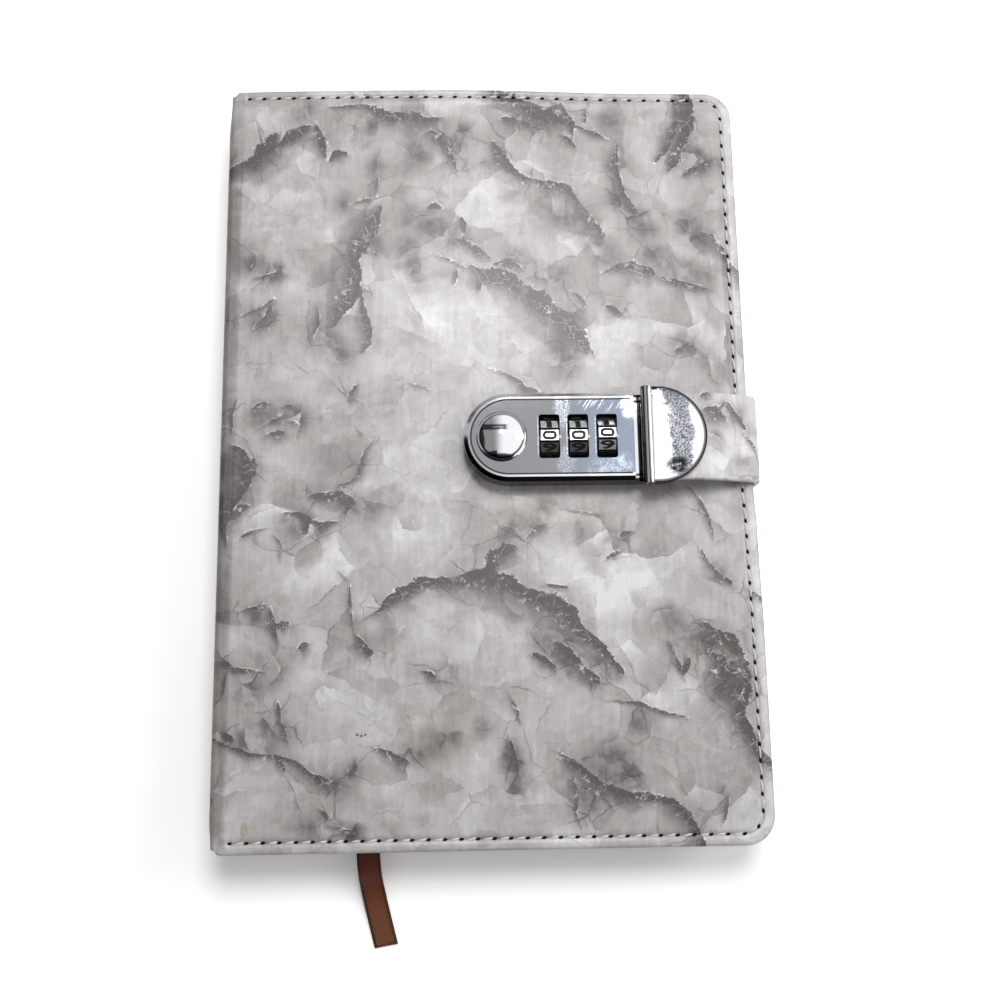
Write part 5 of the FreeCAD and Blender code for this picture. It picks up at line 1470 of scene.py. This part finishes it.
def buttonFinish():
    metal, where = chrome("chrome_button")
    fromCap = where.shift((lockMetal["capX"], lockY, 0), "SUBTRACT")
    away = (fromCap[0] * fromCap[0] + fromCap[1] * fromCap[1]) ** 0.5
    lines = hairlines(metal, where, 20)
    cloud = metal.noise(where, 0.5, 3.0)
    # painted shade on the button's outer edge and its low side
    colour = metal.mix(away.ramp(5.5, 5.9) * 0.8, lockMetal["bright"], lockMetal["dark"])
    colour = metal.mix(where[2].ramp(faceZ + 1.3, faceZ + 0.6) * 0.9, colour, lockMetal["dark"])
    metal.set("Roughness", lines * 0.06 + cloud * 0.05 + 0.01)
    return metal.paint(colour, cloud + lines * 0.1, 0.04)


def dialFinish(number, axleY, axleZ, middleX):
    metal, where = chrome(f"dial_metal_{number}")
    outX = (where[0] - middleX).size()
    across = where[1] - axleY
    upward = where[2] - axleZ
    away = (across * across + upward * upward) ** 0.5
    wear = metal.noise(where, 1.6, 4.0, 0.7)
    colour = metal.mix(wear.ramp(0.4, 0.7), (0.95, 0.95, 0.95), (0.80, 0.81, 0.83))
    # painted shade below the facets and on the wheel's sides
    hollow = away.ramp(5.405, 5.385).most(outX.ramp(2.28, 2.40))
    colour = metal.mix(hollow, colour, (0.010, 0.010, 0.012))
    metal.set("Roughness", wear * 0.16 + 0.14)
    return metal.paint(colour, wear, 0.08)


def plainMetal(name, colour, darker, roughness, scale=1.2):
    # turned, drawn or stamped metal with a faint grain
    metal, where = chrome(name, roughness)
    grain = hairlines(metal, where, 5, 0.05)
    spots = metal.noise(where, scale, 4.0, 0.65)
    metal.set("Roughness", grain * 0.2 + roughness - 0.08)
    return metal.paint(metal.mix(spots.ramp(0.35, 0.7), colour, darker), grain + spots * 0.5, 0.12)


def boardFinish():
    card = Finish("grey_board", Roughness=0.9, Specular_IOR_Level=0.2)
    where = card.place()
    fibre = card.noise(where.scaled(1.0, 0.4, 2.0), 1.4, 6.0, 0.7)
    fleck = card.noise(where, 3.0, 3.0, 0.7).ramp(0.62, 0.70)
    colour = card.mix(fibre, (0.22, 0.20, 0.17), (0.36, 0.33, 0.29))
    return card.paint(card.mix(fleck * 0.6, colour, (0.10, 0.09, 0.08)), fibre, 0.4, 0.0002)


def mullFinish():
    cloth = Finish("mull_cloth", Roughness=0.9, Specular_IOR_Level=0.2)
    where = cloth.place()
    rows = ((where[1] * 1.1).part() - 0.5).size()
    columns = ((where[2] * 1.1).part() - 0.5).size()
    weave = rows.most(columns).ramp(0.28, 0.42)
    colour = cloth.mix(weave, (0.30, 0.26, 0.20), (0.74, 0.71, 0.64))
    colour = cloth.mix(cloth.noise(where, 0.4) * 0.3, colour, (0.55, 0.50, 0.42))
    return cloth.paint(colour, weave, 0.5, 0.0002)


def dress(node, material):
    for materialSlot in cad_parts[node].material_slots:
        materialSlot.material = material


steel = plainMetal("plated_steel", (0.62, 0.62, 0.63), (0.48, 0.48, 0.50), 0.30)
springSteel = plainMetal("spring_steel", (0.44, 0.45, 0.48), (0.30, 0.31, 0.35), 0.26, 2.4)
brass = plainMetal("brass", (0.72, 0.52, 0.24), (0.55, 0.38, 0.17), 0.28)

nodeFinishes = [
    (caseFinish(), "lock_case"),
    (catchFinish(), "catch_plate"),
    (buttonFinish(), "button"),
    (springSteel, "button_spring", "latch_spring", "detent_spring"),
    (steel, "latch_bar", "dial_axle", "lock_base_plate", "lock_screws", "catch_clamp_plate", "catch_rivets"),
    (brass, "code_sleeve_1", "code_sleeve_2", "code_sleeve_3"),
    (boardFinish(), "front_board", "back_board", "spine_card"),
    (mullFinish(), "block_mull"),
]
for material, *nodes in nodeFinishes:
    for node in nodes:
        dress(node, material)


digits = {
    "size": (3.95, 2.55),     # drawn wide and low
    "boldness": 0.034,
    "stroke": 0.86,           # of the nought, a rounded ring
    "noughtRound": 0.46,      # its corners, as a share of its height
    "oneWidth": 0.36,         # of the figure 1, as a share of the others' width
    "corner": 5.7,            # from the axle to the wheel's corners
    "raised": 0.02,
    "facets": 10,
    "turns": (0.0, 0.0, -7.0),
}


def nought():
    # a squat ring with rounded corners
    wide, tall = digits["size"]
    bm = bmesh.new()
    bmesh.ops.create_grid(bm, x_segments=1, y_segments=1, size=0.5)
    bmesh.ops.scale(bm, vec=(wide * mm, tall * mm, 1), verts=bm.verts)
    rounding = tall * digits["noughtRound"] * mm
    bmesh.ops.bevel(bm, geom=bm.verts[:], offset=rounding, affect="VERTICES", segments=6,
                    profile=0.5, material=-1)
    inner = bm.faces[:]
    bmesh.ops.inset_region(bm, faces=inner, thickness=digits["stroke"] * mm, use_even_offset=True,
                           use_boundary=True)
    bmesh.ops.delete(bm, geom=inner, context="FACES")
    return bm


def digitShape(text):
    # one figure, centred, as a flat mesh that fills the wanted size
    curve = bpy.data.curves.new("figure", "FONT")
    curve.body = text
    curve.size = 1.0
    curve.offset = digits["boldness"]
    curve.resolution_u = 4
    holder = bpy.data.objects.new("figure", curve)
    mesh = bpy.data.meshes.new_from_object(holder)
    bpy.data.objects.remove(holder)
    bm = bmesh.new()
    bm.from_mesh(mesh)
    places = np.array([vertex.co for vertex in bm.verts])
    low = places.min(0)
    high = places.max(0)
    wide, tall = digits["size"]
    if text == "1":
        wide = wide * digits["oneWidth"]
    fit = (wide * mm / (high[0] - low[0]), tall * mm / (high[1] - low[1]), 1)
    bmesh.ops.translate(bm, vec=-Vector((low + high) / 2), verts=bm.verts)
    bmesh.ops.scale(bm, vec=fit, verts=bm.verts)
    return bm


def makeDigits():
    shapes = []
    for k in range(digits["facets"]):
        bm = digitShape(str(k)) if k else nought()
        mesh = bpy.data.meshes.new("figure" + str(k))
        bm.to_mesh(mesh)
        bm.free()
        shapes.append(mesh)
    ink = Finish("dial_figures", Roughness=0.5, Specular_IOR_Level=0.3)
    ink.set("Base Color", ink.mix(ink.noise(ink.place(), 2.0), (0.003, 0.003, 0.003), (0.014, 0.014, 0.015)))
    axleLow, axleHigh = boxOf("dial_axle")
    axle = (axleLow + axleHigh) / 2
    flat = digits["corner"] * math.cos(math.pi / digits["facets"]) + digits["raised"]
    for number, middleX, first in zip((1, 2, 3), dialMiddles, digits["turns"]):
        bm = bmesh.new()
        for k, shape in enumerate(shapes):
            before = len(bm.verts)
            bm.from_mesh(shape)
            bm.verts.ensure_lookup_table()
            angle = math.radians(first - 360 / digits["facets"] * k)
            turn = Matrix.Translation(Vector((middleX, axle.y, axle.z)) * mm) @ Matrix.Rotation(angle, 4, "X")
            turn = turn @ Matrix.Translation((0, 0, flat * mm))
            bmesh.ops.transform(bm, matrix=turn, verts=bm.verts[before:])
        piece = finishMesh(f"dialFigures{number}", bm, smooth=False)
        piece.data.materials.append(ink.material)
        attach(piece, f"dial_{number}")
        dress(f"dial_wheel_{number}", dialFinish(number, axle.y, axle.z, middleX))


makeDigits()
print("lock finished")
